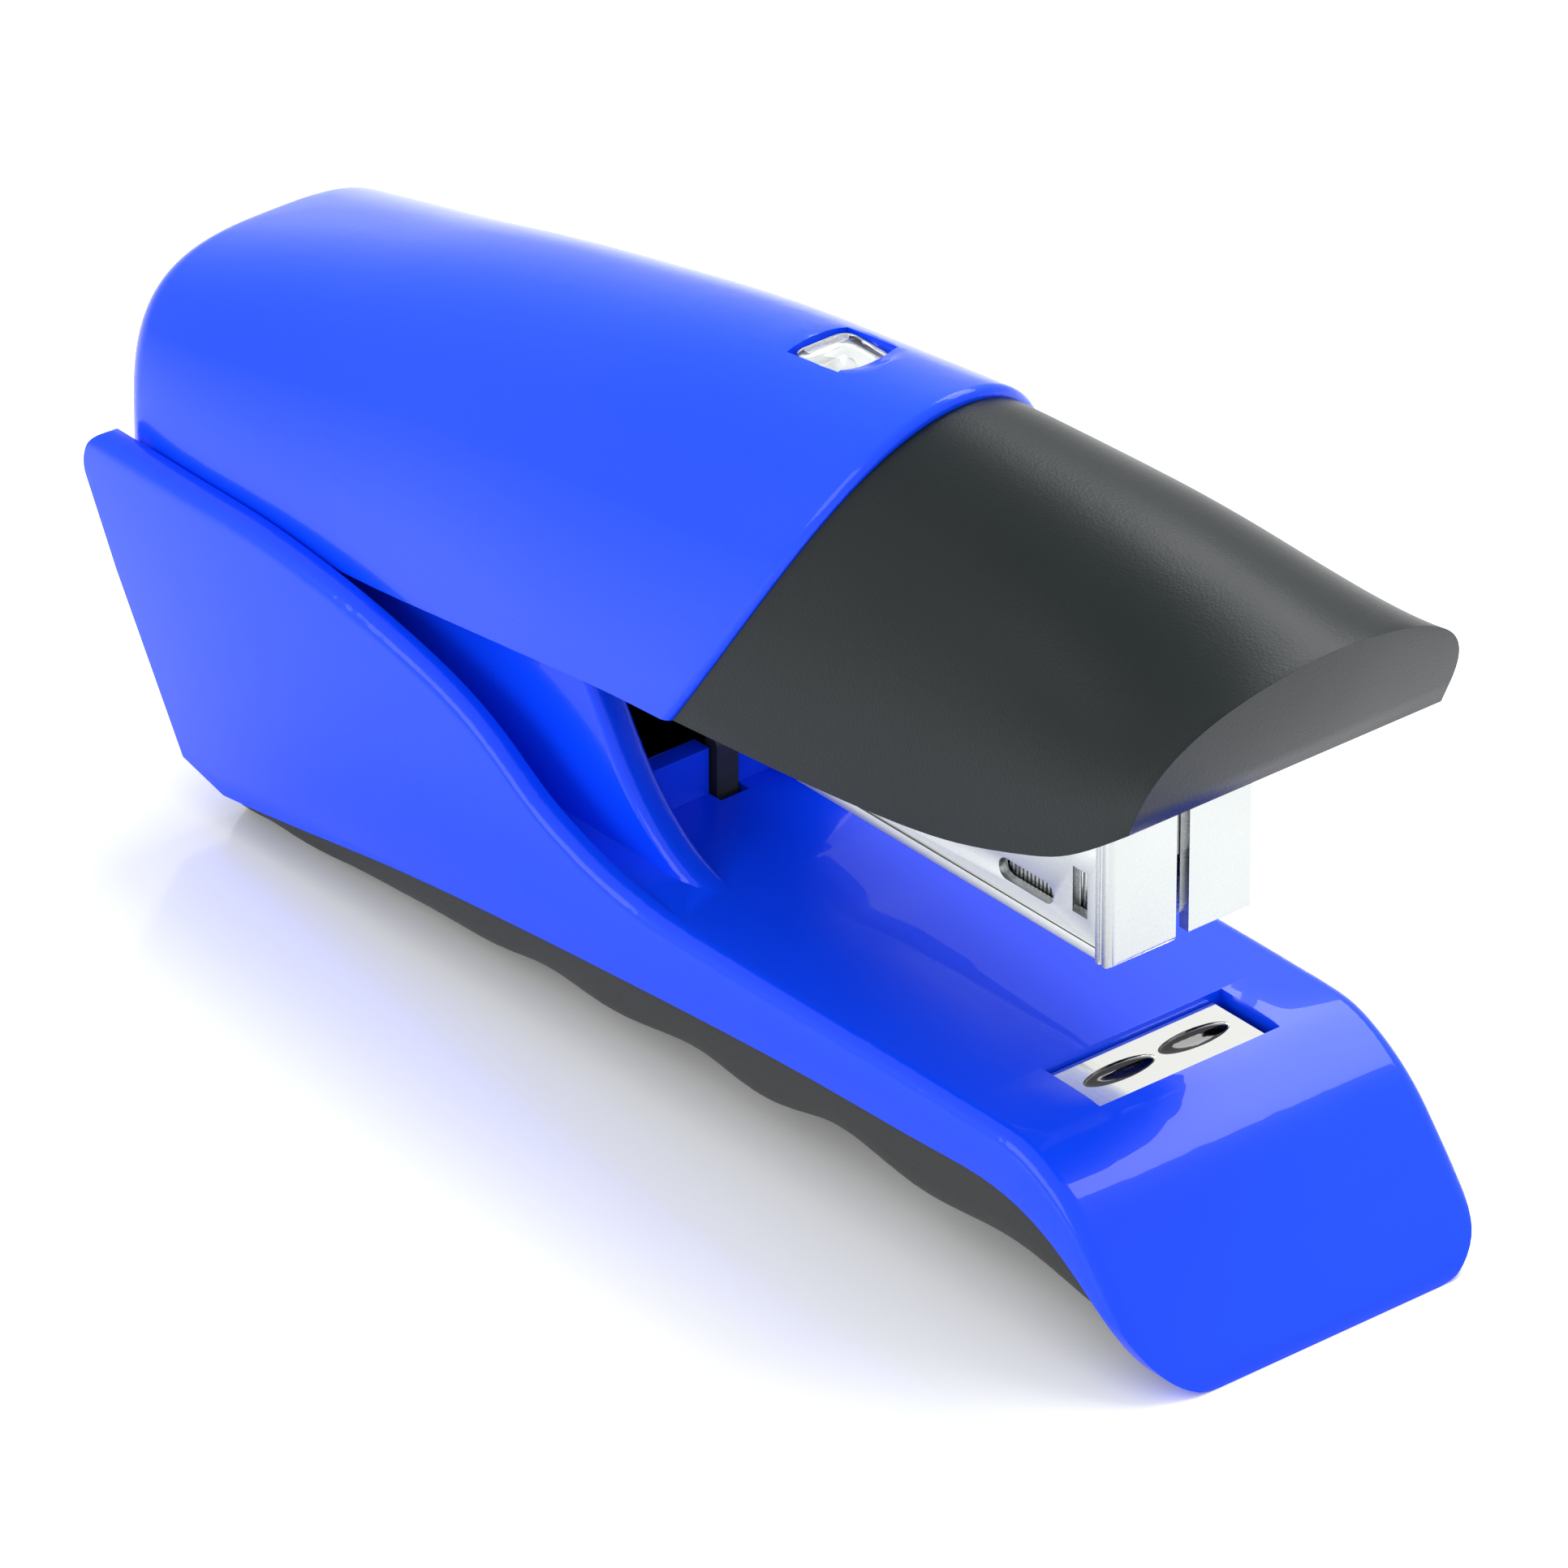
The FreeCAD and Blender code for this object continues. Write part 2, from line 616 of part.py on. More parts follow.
def bottom_grip():
    x0 = float(rear_x) + 16.8
    x1 = float(front_x) - 5.4
    half = float(skirt_inner) - 0.15
    wall = float(s.grip_wall)
    radius = float(s.grip_round)
    stations = 30
    outer_sections = []
    inner_sections = []
    for index in range(stations + 1):
        x = x0 + (x1 - x0) * index / stations
        low = grip_bottom(x)
        outer_sections.append(grip_section(x, half, low, 14.0, radius))
        inner_sections.append(grip_section(x, half - wall, low + wall, 15.0, radius - wall))
    outline = Part.makeLoft(outer_sections, True, False)
    inner = Part.makeLoft(inner_sections, True, False)
    ends = solid_box(x0 + wall, x1 - 5.0, -half, half, -2.0, 16.0)
    shell = outline.cut(inner.common(ends))
    shell = shell.cut(solid_box(x0 - 5.0, x1 + 5.0, -20.0, 20.0, -5.0, 0.0))
    shell = shell.cut(corner_relief(float(s.lip_corner) - float(s.skirt_wall) - 0.15))
    lip = lip_points(2.7, 2.6)
    lip_cut = points_xz([(lip[0][0] - 6.0, 13.2)] + lip[1:] + [(front_x - 4.3, -0.5)]
                        + [(front_x + 4.0, -0.5), (front_x + 4.0, 18.0), (lip[0][0] - 6.0, 18.0)],
                        -20.0)
    lip_face = Part.Face(Part.makePolygon(lip_cut + lip_cut[:1]))
    shell = shell.cut(lip_face.extrude(V(0, 40.0, 0)))
    inside = float(rear_x)
    top_cut = prism([(inside, 8.0), (inside + 40.0, 10.6), (inside + 80.0, 13.0),
                     (front_x, 13.2), (front_x, 18.0), (inside, 18.0)], -20.0, 20.0)
    shell = shell.cut(top_cut)
    for x, y in screw_positions():
        column = solid_bar("z", x, y, 0.0, boss_bottom, 3.7)
        shell = shell.fuse(column.common(outline))
        shell = shell.cut(solid_bar("z", x, y, -1.0, s.screw_seat + 1.0, s.screw_head / 2 + 0.2))
        shell = shell.cut(solid_bar("z", x, y, 0.0, 12.0, s.screw_dia / 2 + 0.1))
    post = solid_box(switch_x, switch_x + 6.0, -3.0, 3.0, 2.6, trigger_z - 2.2)
    return feature("bottom_grip", single(shell.fuse(post)))


def base_screws():
    screws = []
    for number, (x, y) in enumerate(screw_positions(), start=1):
        head = bar(f"screw_{number}_head", "z", x, y, s.screw_seat - 1.6, 1.6, s.screw_head / 2)
        thread = bar(f"screw_{number}_thread", "z", x, y, s.screw_seat - 0.2, 7.4, s.screw_dia / 2)
        slot = block(f"screw_{number}_slot", x - s.screw_head / 2, y - 0.4, s.screw_seat - 1.7,
                     s.screw_head, 0.8, 0.8)
        screws.append(cut(f"screw_{number}", fuse(f"screw_{number}_blank", [head, thread]), slot))
    return keep("base_screws", group("base_screws_group", screws))


def anvil_plate():
    low = s.deck_top - s.anvil_sink - s.anvil_thick
    plate = block("anvil_blank", anvil_x - s.anvil_width / 2, -(s.anvil_length / 2), low,
                  s.anvil_width, s.anvil_length, s.anvil_thick)
    tools = []
    for side in (-1, 1):
        bowl = doc.addObject("Part::Ellipsoid", f"anvil_bowl_{side + 2}")
        bind(bowl, Radius1=s.pocket_depth, Radius2=s.pocket_width / 2, Radius3=s.pocket_length / 2,
             Placement__Base__x=anvil_x, Placement__Base__y=side * (s.pocket_length / 2 + 0.3),
             Placement__Base__z=s.deck_top - s.anvil_sink)
        tools.append(bowl)
    bevelled = doc.addObject("Part::Chamfer", "anvil_bevel")
    bevelled.Base = plate
    doc.recompute()
    top = float(s.deck_top - s.anvil_sink)
    rim = [(index, 0.35, 0.35) for index, edge in enumerate(plate.Shape.Edges, start=1)
           if all(abs(vertex.Z - top) < 1e-6 for vertex in edge.Vertexes)]
    bevelled.Edges = rim
    return keep("anvil_plate", cut("anvil_cut", bevelled, fuse("anvil_scoops", tools)))


def pivot_parts():
    overhang = 0.9
    pin = bar("pivot_bar", "y", pivot_x, -cheek_outer - overhang, s.pivot_height,
              2 * (cheek_outer + overhang), pin_radius)
    keep("pivot_pin", pin)
    clips = []
    for side in (-1, 1):
        low = cheek_outer + 0.05 if side > 0 else -cheek_outer - 0.55
        ring = bar(f"clip_ring_{side + 2}", "y", pivot_x, low, s.pivot_height, 0.5, pin_radius + 1.5)
        hole = bar(f"clip_hole_{side + 2}", "y", pivot_x, low - 1, s.pivot_height, 2.5,
                   pin_radius + s.seat_gap)
        mouth = block(f"clip_mouth_{side + 2}", pivot_x - 1.1, low - 1, s.pivot_height - 5, 2.2,
                      2.5, 4.5)
        clips.append(cut(f"clip_{side + 2}", ring, fuse(f"clip_cut_{side + 2}", [hole, mouth])))
    keep("pivot_clips", group("pivot_clips_group", clips))


# ---------------------------------------------------------------- paper trigger
def trigger_parts():
    height = float(s.stop_wall_top) + 1.0
    half = 1.2
    finger = prism([(trigger_x - 0.8, trigger_z - 1.8), (trigger_x + 0.8, trigger_z - 1.8),
                    (trigger_x + 0.8, height - 0.8), (trigger_x + 0.2, height),
                    (trigger_x - 0.8, height)], -half, half)
    finger = finger.fuse(solid_bar("y", trigger_x, -half, trigger_z, 2 * half, 1.8))
    finger = finger.cut(solid_bar("y", trigger_x, -2.0, trigger_z, 4.0, 1.0 + float(s.running_gap)))
    feature("paper_trigger", single(finger))
    keep("trigger_axle", bar("trigger_bar", "y", trigger_x, -3.6, trigger_z, 7.2, 1.0))
    body = block("switch_body", switch_x, -3.0, trigger_z - 2.2, 6.0, 6.0, 5.0)
    plunger = block("switch_plunger", switch_x + 6.0, -0.8, trigger_z + 1.2, 1.5, 1.6, 1.2)
    keep("micro_switch", fuse("switch_fused", [body, plunger]))


# ---------------------------------------------------------------- magazine
def magazine_channel():
    half = float(magazine_half)
    low = float(s.magazine_bottom)
    top = float(channel_top)
    rear = float(channel_rear)
    px = float(pivot_x)
    pz = float(s.pivot_height)
    side = [(rear, low), (channel_front, low), (channel_front, low + 11.0), (anvil_x - 9.0, low + 11.0),
            (anvil_x - 11.0, top), (rear, top), (rear, low + 1.8), (px + 5.0, pz + 3.0),
            (px, pz + 4.0), (px - 4.0, pz), (px, pz - 4.0), (px + 5.0, pz - 3.0)]
    outer = prism(side, -half, half)
    inner = solid_box(px - 10.0, channel_front + 2.0, -magazine_inner, magazine_inner,
                      channel_floor, 60.0)
    rear_gap = solid_box(px - 10.0, rear, -magazine_inner, magazine_inner, 0.0, 60.0)
    exit_gap = solid_box(anvil_x - 1.6, channel_front + 2.0, -magazine_inner, magazine_inner,
                         0.0, 60.0)
    channel = outer.cut(inner).cut(rear_gap).cut(exit_gap)
    lip_rib = solid_box(rear + 20.0, anvil_x + 1.0, -half - 0.2, half + 0.2, low, low + 1.0)
    channel = channel.fuse(lip_rib.cut(solid_box(rear, channel_front, -half + 0.5, half - 0.5, 0, 60)))
    hole_x = float(anvil_x) - 8.3
    hole_z = low + 3.4
    reach = 2 * half + 6.0
    for shift in (-2.5, 2.5):
        channel = channel.cut(solid_bar("y", hole_x + shift, -half - 3.0, hole_z, reach, 1.0))
    channel = channel.cut(solid_box(hole_x - 2.5, hole_x + 2.5, -half - 3.0, half + 3.0,
                                    hole_z - 1.0, hole_z + 1.0))
    channel = channel.cut(solid_box(anvil_x - 2.4, anvil_x - 0.5, -half - 3.0, half + 3.0,
                                    low + 3.2, low + 7.5))
    pin_hole = solid_bar("y", px, -half - 3.0, pz, reach, pin_radius + s.running_gap)
    return feature("magazine_channel", single(channel.cut(pin_hole)))


def front_casing():
    half = float(magazine_half + s.casing_side)
    low = float(s.magazine_bottom) - 0.1
    top = float(casing_top)
    face = float(magazine_front)
    back = face - 1.9
    outer = solid_box(back, face, -half, half, low, top)
    rounded = edges_where(outer, lambda e: abs(middle(e).x - face) < 1e-6
                          and (abs(abs(middle(e).y) - half) < 1e-6 or abs(middle(e).z - low) < 1e-6))
    outer = outer.makeFillet(0.7, rounded)
    inner = solid_box(back - 1.0, channel_front, -half + float(s.casing_side),
                      half - float(s.casing_side), low - 1.0, top + 1.0)
    slit = solid_box(back - 1.0, face + 1.0, -(s.slit_width / 2), s.slit_width / 2, low - 1.0,
                     top - 8.4)
    window = solid_box(back - 1.0, face + 1.0, -1.3, 1.3, top - 5.0, top + 1.0)
    flap_step = solid_box(back - 1.0, face + 1.0, s.slit_width / 2, half + 1.0, low - 1.0, low + 0.5)
    casing = outer.cut(inner).cut(slit).cut(window).cut(flap_step)
    for side in (-1, 1):
        groove_y = side * half
        casing = casing.cut(solid_bar("z", face - 1.25, groove_y, low - 1.0, top - low + 2.0, 0.18))
    return feature("front_casing", casing)


def staple_rail():
    half = s.staple_crown / 2 - s.staple_wire - 0.15
    wall = 0.8
    low = channel_floor
    top = s.staple_leg + channel_floor + 0.1 - s.staple_wire - 0.1
    x_low = channel_rear + 2.0
    length = channel_front - 1.6 - x_low
    outer = block("rail_outer", x_low, -half, low, length, 2 * half, top - low)
    inner = block("rail_inner", x_low + 1.0, -half + wall, low - 1, length - 2.0,
                  2 * half - 2 * wall, top - low - wall + 1)
    slot = block("rail_slot", x_low + 2.0, -1.2, low, length - 4.0, 2.4, 10.0)
    bore = bar("rail_bore", "x", x_low - 1, 0.0, rod_height, length + 2.0, rod_radius + s.seat_gap)
    keep("staple_rail", cut("rail_cut", outer, fuse("rail_tools", [inner, slot, bore])))
    keep("pusher_rod", bar("rod_bar", "x", x_low, 0.0, rod_height, length, rod_radius))


def u_bridge(label, x, length, half_out, half_in, low, top, roof):
    """An upside-down U that straddles the rail."""
    outer = block(label + "_outer", x, -half_out, low, length, 2 * half_out, top - low)
    inner = block(label + "_inner", x - 1, -half_in, low - 1, length + 2.0, 2 * half_in,
                  top - low - roof + 1)
    return cut(label + "_bridge", outer, inner)


def staple_strip():
    half = s.staple_crown / 2
    low = channel_floor + 0.1
    strip = u_bridge("strip", strip_rear, s.strip_length, half, half - s.staple_wire, low,
                     low + s.staple_leg, s.staple_wire)
    return keep("staple_strip", strip)


def pusher():
    half = s.staple_crown / 2 - 0.05
    low = channel_floor + 0.1
    x = strip_rear - 0.1 - s.pusher_length
    saddle = u_bridge("saddle", x, s.pusher_length, half, half - s.staple_wire, low,
                      low + s.staple_leg + 0.4, s.staple_wire + 0.4)
    neck = block("pusher_neck", x + 1.0, -0.9, rod_height, s.pusher_length - 2.0, 1.8,
                 low + s.staple_leg - rod_height)
    shoe = block("pusher_shoe", x + 1.0, -2.2, rod_height - 1.7, s.pusher_length - 2.0, 4.4, 3.4)
    bore = bar("pusher_bore", "x", x - 1, 0.0, rod_height, s.pusher_length + 2.0,
               rod_radius + s.running_gap)
    keep("pusher", cut("pusher_cut", fuse("pusher_body", [saddle, neck, shoe]), bore))


def coil(axis, start, radius, wire, pitch, length):
    """A coil spring; its wire has ten flats."""
    helix = Part.makeHelix(pitch, length, radius)
    sides = 10
    corners = []
    for number in range(sides + 1):
        turn = 2 * math.pi * number / sides
        corners.append(V(radius + wire * math.cos(turn), 0, wire * math.sin(turn)))
    tube = Part.Wire(helix).makePipeShell([Part.makePolygon(corners)], True, True)
    turn = FreeCAD.Placement(V(*(float(c) for c in start)), TURNS[axis])
    tube.Placement = turn
    return tube


def springs():
    x_low = float(channel_rear) + 3.1
    shoe_rear = float(strip_rear - s.pusher_length) + 0.9
    shape = coil("x", (x_low + 0.2, 0.0, rod_height), 1.45, 0.2, 1.0, shoe_rear - x_low - 0.5)
    feature("pusher_spring", shape)
    shape = coil("y", (pivot_x, -5.0, s.pivot_height), float(pin_radius) + 0.85, 0.4, 1.1, 10.0)
    feature("return_spring", shape)
    shape = coil("z", (button_x, 0.0, board_z + 1.25), 2.4, 0.2, 0.7, 1.2)
    feature("button_spring", shape)


def driver_blade():
    top = blade_low + s.blade_height
    blade = block("blade_blank", blade_x, -(s.blade_width / 2), blade_low, s.blade_thick,
                  s.blade_width, s.blade_height)
    window_low = s.gear_axis_height + tip_rise - 1.9
    window = block("blade_window", blade_x - 1, -0.9, window_low, s.blade_thick + 2.0, 1.8, 3.2)
    shoulder = [block(f"blade_shoulder_{side + 2}", blade_x - 1, -7.0 if side < 0 else 3.2,
                      top - 12.0, s.blade_thick + 2.0, 3.8, 13.0)
                for side in (-1, 1)]
    keep("driver_blade", cut("blade_cut", blade, fuse("blade_tools", [window] + shoulder)))


# ---------------------------------------------------------------- gears
def involute_turn(base_radius, radius):
    """How far the involute has turned when it reaches the given radius."""
    roll = math.sqrt(max((radius / base_radius) ** 2 - 1.0, 0.0))
    return roll - math.atan(roll)


def gear_outline(teeth, centre, phase):
    """Closed outline of an involute gear in the XZ plane, a tooth pointing at phase."""
    module = float(s.gear_module)
    pitch = teeth * module / 2
    base = pitch * math.cos(PRESSURE_ANGLE)
    tip = pitch + STUB_ADDENDUM * module
    root = pitch - (STUB_ADDENDUM + 0.25) * module
    thickness = math.pi * module / 2 - TOOTH_BACKLASH
    half_angle = thickness / (2 * pitch) + math.tan(PRESSURE_ANGLE) - PRESSURE_ANGLE
    start = max(base, root)
    steps = 5
    outline = []
    for tooth in range(teeth):
        middle_angle = phase + 2 * math.pi * tooth / teeth
        radii = [start + (tip - start) * step / (steps - 1) for step in range(steps)]
        flank = [(radius, half_angle - involute_turn(base, radius)) for radius in radii]
        rising = [(root, flank[0][1] + 0.02)] if root < start else []
        rising += flank
        for radius, away in rising:
            outline.append((radius, middle_angle - away))
        for radius, away in reversed(rising):
            outline.append((radius, middle_angle + away))
    cx, cz = centre
    points = [(cx + radius * math.cos(angle), cz + radius * math.sin(angle))
              for radius, angle in outline]
    return points


def gear(teeth, centre, phase, y_low, face):
    return prism(gear_outline(teeth, centre, phase), y_low, float(y_low) + float(face))


def gear_train():
    z = float(s.gear_axis_height)
    motor_centre = (float(motor_x), float(s.motor_axis_height))
    first = (float(first_x), z)
    second = (float(second_x), z)
    crank = (float(crank_x), z)
    gap_turn = math.pi / WHEEL_TEETH
    deep = float(first_plane)
    mid = float(second_plane)
    near = float(crank_plane)
    play = float(s.running_gap)

    pinion = gear(PINION_TEETH, motor_centre, motor_direction, deep, wheel_face)
    hub = solid_bar("y", motor_centre[0], deep + wheel_face, motor_centre[1], 0.6, 1.8)
    shaft_hole = solid_bar("y", motor_centre[0], 0.0, motor_centre[1], 20.0,
                           axle_radius + float(s.seat_gap))
    feature("motor_pinion", single(pinion.fuse(hub).cut(shaft_hole)))

    wheel = gear(WHEEL_TEETH, first, motor_direction + math.pi + gap_turn, deep, wheel_face)
    small = gear(SMALL_TEETH, first, 0.0, mid, deep - mid + 0.1)
    hub = solid_bar("y", first[0], deep + wheel_face, z, 0.8, 2.0)
    bore = solid_bar("y", first[0], 0.0, z, 20.0, axle_radius + play)
    feature("first_gear", single(wheel.fuse(small).fuse(hub).cut(bore)))

    wheel = gear(WHEEL_TEETH, second, math.pi + gap_turn, mid, wheel_face)
    small = gear(LAST_SMALL_TEETH, second, 0.0, near, mid - near + 0.1)
    hub = solid_bar("y", second[0], mid + wheel_face, z, plate_inner - mid - wheel_face - 0.2, 1.6)
    bore = solid_bar("y", second[0], 0.0, z, 20.0, axle_radius + play)
    feature("second_gear", single(wheel.fuse(small).fuse(hub).cut(bore)))

    wheel = gear(CRANK_TEETH, crank, math.pi + math.pi / CRANK_TEETH, near, crank_face)
    hub = solid_bar("y", crank[0], near + crank_face, z, plate_inner - near - crank_face - 0.2, 2.6)
    bore = solid_bar("y", crank[0], 0.0, z, 20.0, crank_axle_radius + play)
    pin_hole = solid_bar("y", crank[0], 0.0, z + crank_radius, near + 1.4,
                         crank_pin_radius + float(s.seat_gap))
    feature("crank_gear", single(wheel.fuse(hub).cut(bore).cut(pin_hole)))


def gear_shafts():
    z = s.gear_axis_height
    keep("crank_pin", bar("crank_pin_bar", "y", crank_x, -lever_half - 0.9, z + crank_radius,
                          lever_half + 0.9 + crank_plane + 1.35, crank_pin_radius))
    keep("motor_shaft", bar("motor_shaft_bar", "y", motor_x, 4.0, s.motor_axis_height,
                            first_plane_end - 4.0 + 0.8, axle_radius))
    long_axle = bar("axle_first", "y", first_x, -left_plate_outer - 0.4, z,
                    left_plate_outer + plate_outer + 0.4, axle_radius)
    stub = bar("axle_second", "y", second_x, crank_plane - 0.1, z,
               plate_outer - crank_plane + 0.1, axle_radius)
    crank_axle = bar("axle_crank", "y", crank_x, crank_plane + 0.1, z,
                     plate_outer - crank_plane - 0.1, crank_axle_radius)
    keep("gear_axles", group("gear_axles_group", [long_axle, stub, crank_axle]))


def gear_frame():
    """A folded steel bracket: a wall on each side of the gears and a web under them."""
    z = float(s.gear_axis_height)
    x_first = float(first_x)
    x_second = float(second_x)
    x_crank = float(crank_x)
    web_low = z - 10.9
    web_high = web_low + plate_thick
    right = prism([(pivot_x + 41.4, web_low), (pivot_x + 41.4, z - 4.0), (x_first - 5.0, z + 3.5),
                   (x_second, z + 5.0), (x_crank + 2.0, z + 4.5), (x_crank + 5.5, z),
                   (x_crank + 3.0, z - 5.0), (x_second + 4.0, web_low)],
                  plate_inner, plate_outer)
    left = prism([(x_first - 1.5, web_low), (x_first - 1.5, z + 2.8), (x_first + 4.5, z + 2.8),
                  (x_second + 4.0, web_high + 3.0), (x_second + 4.0, web_low)],
                 -left_plate_outer, -left_plate_inner)
    web = solid_box(x_first - 1.5, x_second + 4.0, -left_plate_outer, plate_outer, web_low, web_high)
    frame = right.fuse(left).fuse(web)
    seat = float(s.seat_gap)
    for x, radius in ((x_first, axle_radius), (x_second, axle_radius), (x_crank, crank_axle_radius)):
        frame = frame.cut(solid_bar("y", x, -12.0, z, 30.0, radius + seat))
    return feature("gear_frame", single(frame))


def lever_slot_half_height():
    """Half the height of the lever's slot: the pin's circle is not the lever's even swing."""
    reach = float(crank_x - first_x)
    largest = 0.0
    samples = 60
    for step in range(samples + 1):
        share = step / samples
        turn = math.pi * share
        swing = math.radians(float(s.lever_swing)) * (1 - 2 * share)
        dx = reach + crank_radius * math.sin(turn)
        dz = crank_radius * math.cos(turn)
        off_line = abs(-dx * math.sin(swing) + dz * math.cos(swing))
        largest = max(largest, off_line)
    return largest + crank_pin_radius + float(s.move_gap)


def drive_lever():
    """The lever that the crank pin swings; its tip drives the blade down."""
    z = float(s.gear_axis_height)
    pivot = (float(first_x), z)
    slope = math.radians(float(s.lever_swing))
    reach = math.hypot(float(crank_x) - pivot[0], crank_radius)
    slot_half = lever_slot_half_height()
    slot_reach = crank_radius + crank_pin_radius + float(s.move_gap) + 0.4
    rim = 2.2
    tip_from_pivot = math.hypot(float(lever_reach), tip_rise)
    hub_radius = 2.6
    neck = 1.6
    body_end = reach + slot_reach + rim
    outline = [(0.0, -hub_radius), (3.5, -hub_radius), (reach - slot_reach - rim, -slot_half - rim + 0.6),
               (body_end - 3.0, -slot_half - rim + 0.6), (body_end, -neck), (tip_from_pivot - 2.6, -neck),
               (tip_from_pivot - 2.6, neck), (body_end, neck),
               (body_end - 3.0, slot_half + rim - 0.6), (reach - slot_reach - rim, slot_half + rim - 0.6),
               (3.5, hub_radius), (0.0, hub_radius)]
    half = float(lever_half)
    lever = prism(outline, -half, half)
    lever = lever.fuse(solid_bar("y", 0, -half, 0, 2 * half, hub_radius))
    slot = solid_box(reach - slot_reach + slot_half, reach + slot_reach - slot_half, -half - 1.0,
                     half + 1.0, -slot_half, slot_half)
    for x in (reach - slot_reach + slot_half, reach + slot_reach - slot_half):
        slot = slot.fuse(solid_bar("y", x, -half - 1.0, 0, 2 * half + 2.0, slot_half))
    tip = solid_box(tip_from_pivot - 2.8, tip_from_pivot + 3.2, -0.6, 0.6, -0.8, 0.8)
    lever = lever.fuse(tip).cut(slot)
    lever = lever.cut(solid_bar("y", 0, -half - 1.0, 0, 2 * half + 2.0,
                                axle_radius + float(s.running_gap)))
    lever.rotate(V(0, 0, 0), V(0, 1, 0), -math.degrees(slope))
    lever.translate(V(pivot[0], 0, pivot[1]))
    return feature("drive_lever", single(lever))


# ---------------------------------------------------------------- head frame and power
def head_frame():
    """Folded steel: ears on the pivot pin, a web under the battery tray, an upright in front."""
    px = float(pivot_x)
    pz = float(s.pivot_height)
    web_high = float(s.tray_floor)
    web_low = web_high - frame_sheet
    up_x = px + 41.0
    end_x = px + 44.8
    top = float(s.gear_axis_height) - 6.0
    side = [(px - 4.0, pz), (px - 4.0, web_high), (up_x, web_high), (up_x, top), (end_x, top),
            (end_x, web_low - 2.0), (px + 38.0, web_low - 3.4), (px + 5.0, pz - 2.5), (px, pz - 4.0)]
    outer = float(frame_outer)
    inner = float(frame_side)
    frame = prism(side, inner, outer).fuse(prism(side, -outer, -inner))
    frame = frame.fuse(solid_box(px - 4.0, up_x, -outer, outer, web_low, web_high))
    frame = frame.fuse(solid_box(up_x - frame_sheet, up_x, -outer, outer, web_low, top - 1.0))
    hole = solid_bar("y", px, -outer - 1.0, pz, 2 * outer + 2.0, pin_radius + s.running_gap)
    return feature("head_frame", single(frame.cut(hole)))


def battery_parts():
    rear = cells_rear_x - 1.5
    floor = s.tray_floor
    inner_half = s.cell_dia + 0.6
    wide = head_rear_half - s.shell_wall - s.fit_gap
    plate = block("tray_plate", rear, -wide, floor, tray_end_x + 1.0 - rear, 2 * wide, 1.0)
    walls = [block(f"tray_wall_{side + 2}", rear, inner_half if side > 0 else -inner_half - 1.0,
                   floor + 0.8, tray_end_x + 1.0 - rear, 1.0, 8.0) for side in (-1, 1)]
    end = block("tray_end", tray_end_x, -inner_half, floor + 0.8, 1.0, 2 * inner_half, 11.0)
    rib = block("tray_rib", cells_rear_x + 6.0, -0.4, floor + 0.8, s.cell_length - 12.0, 0.8, 2.0)
    keep("battery_tray", fuse("tray_fused", [plate, end, rib] + walls))
    contacts_front = []
    contacts_rear = []
    door_face = head_rear_x + s.shell_wall
    for side in (-1, 1):
        y = side * (s.cell_dia / 2 + 0.25)
        name = "left" if side > 0 else "right"
        can = bar(f"cell_can_{name}", "x", cells_rear_x, y, s.cell_height, s.cell_length - 0.8,
                  s.cell_dia / 2)
        nub = bar(f"cell_nub_{name}", "x", cells_rear_x + s.cell_length - 0.9, y, s.cell_height,
                  0.9, 1.9)
        keep(f"{name}_cell", fuse(f"cell_fused_{name}", [can, nub]))
        contacts_front.append(block(f"contact_tab_{name}", tray_end_x - 0.4, y - 2.5,
                                    s.cell_height - 2.5, 0.4, 5.0, 5.0))
        contacts_rear.append(bar(f"contact_cone_{name}", "x", door_face + 0.5, y, s.cell_height,
                                 cells_rear_x - door_face - 0.8, 2.6))
    keep("front_contacts", group("front_contacts_group", contacts_front))
    backing = block("contact_bridge", door_face + 0.1, -(s.cell_dia / 2) - 3.0, s.cell_height - 3.0,
                    0.5, s.cell_dia + 6.0, 6.0)
    keep("rear_contact", fuse("rear_contact_fused", [backing] + contacts_rear))


def motor_parts():
    y_low = second_plane + wheel_face - 0.1 - s.motor_length
    can = bar("motor_can", "y", motor_x, y_low, s.motor_axis_height, s.motor_length,
              s.motor_dia / 2)
    collar = bar("motor_collar", "y", motor_x, y_low + s.motor_length - 0.1, s.motor_axis_height,
                 0.5, 2.6)
    rear_cap = bar("motor_cap", "y", motor_x, y_low - 0.6, s.motor_axis_height, 0.8, 3.0)
    bore = bar("motor_bore", "y", motor_x, 3.8, s.motor_axis_height, 6.0,
               axle_radius + s.running_gap)
    flats = [block(f"motor_flat_{side + 2}", motor_x - 10, y_low - 1,
                   s.motor_axis_height + (6.6 if side > 0 else -8.6), 20.0, s.motor_length + 2.0, 2.0)
             for side in (-1, 1)]
    body = cut("motor_flattened", can, fuse("motor_flats", flats))
    keep("motor", cut("motor_cut", fuse("motor_body", [body, collar, rear_cap]), bore))
    saddle_low = s.motor_axis_height - 6.0
    rear = pivot_x + 41.0
    saddle = block("cradle_block", rear, -frame_side, saddle_low, motor_x - rear - 2.0, 10.6, 8.0)
    seat = bar("cradle_seat", "y", motor_x, y_low, s.motor_axis_height, s.motor_length,
               s.motor_dia / 2 + s.seat_gap)
    keep("motor_cradle", cut("cradle_cut", saddle, seat))


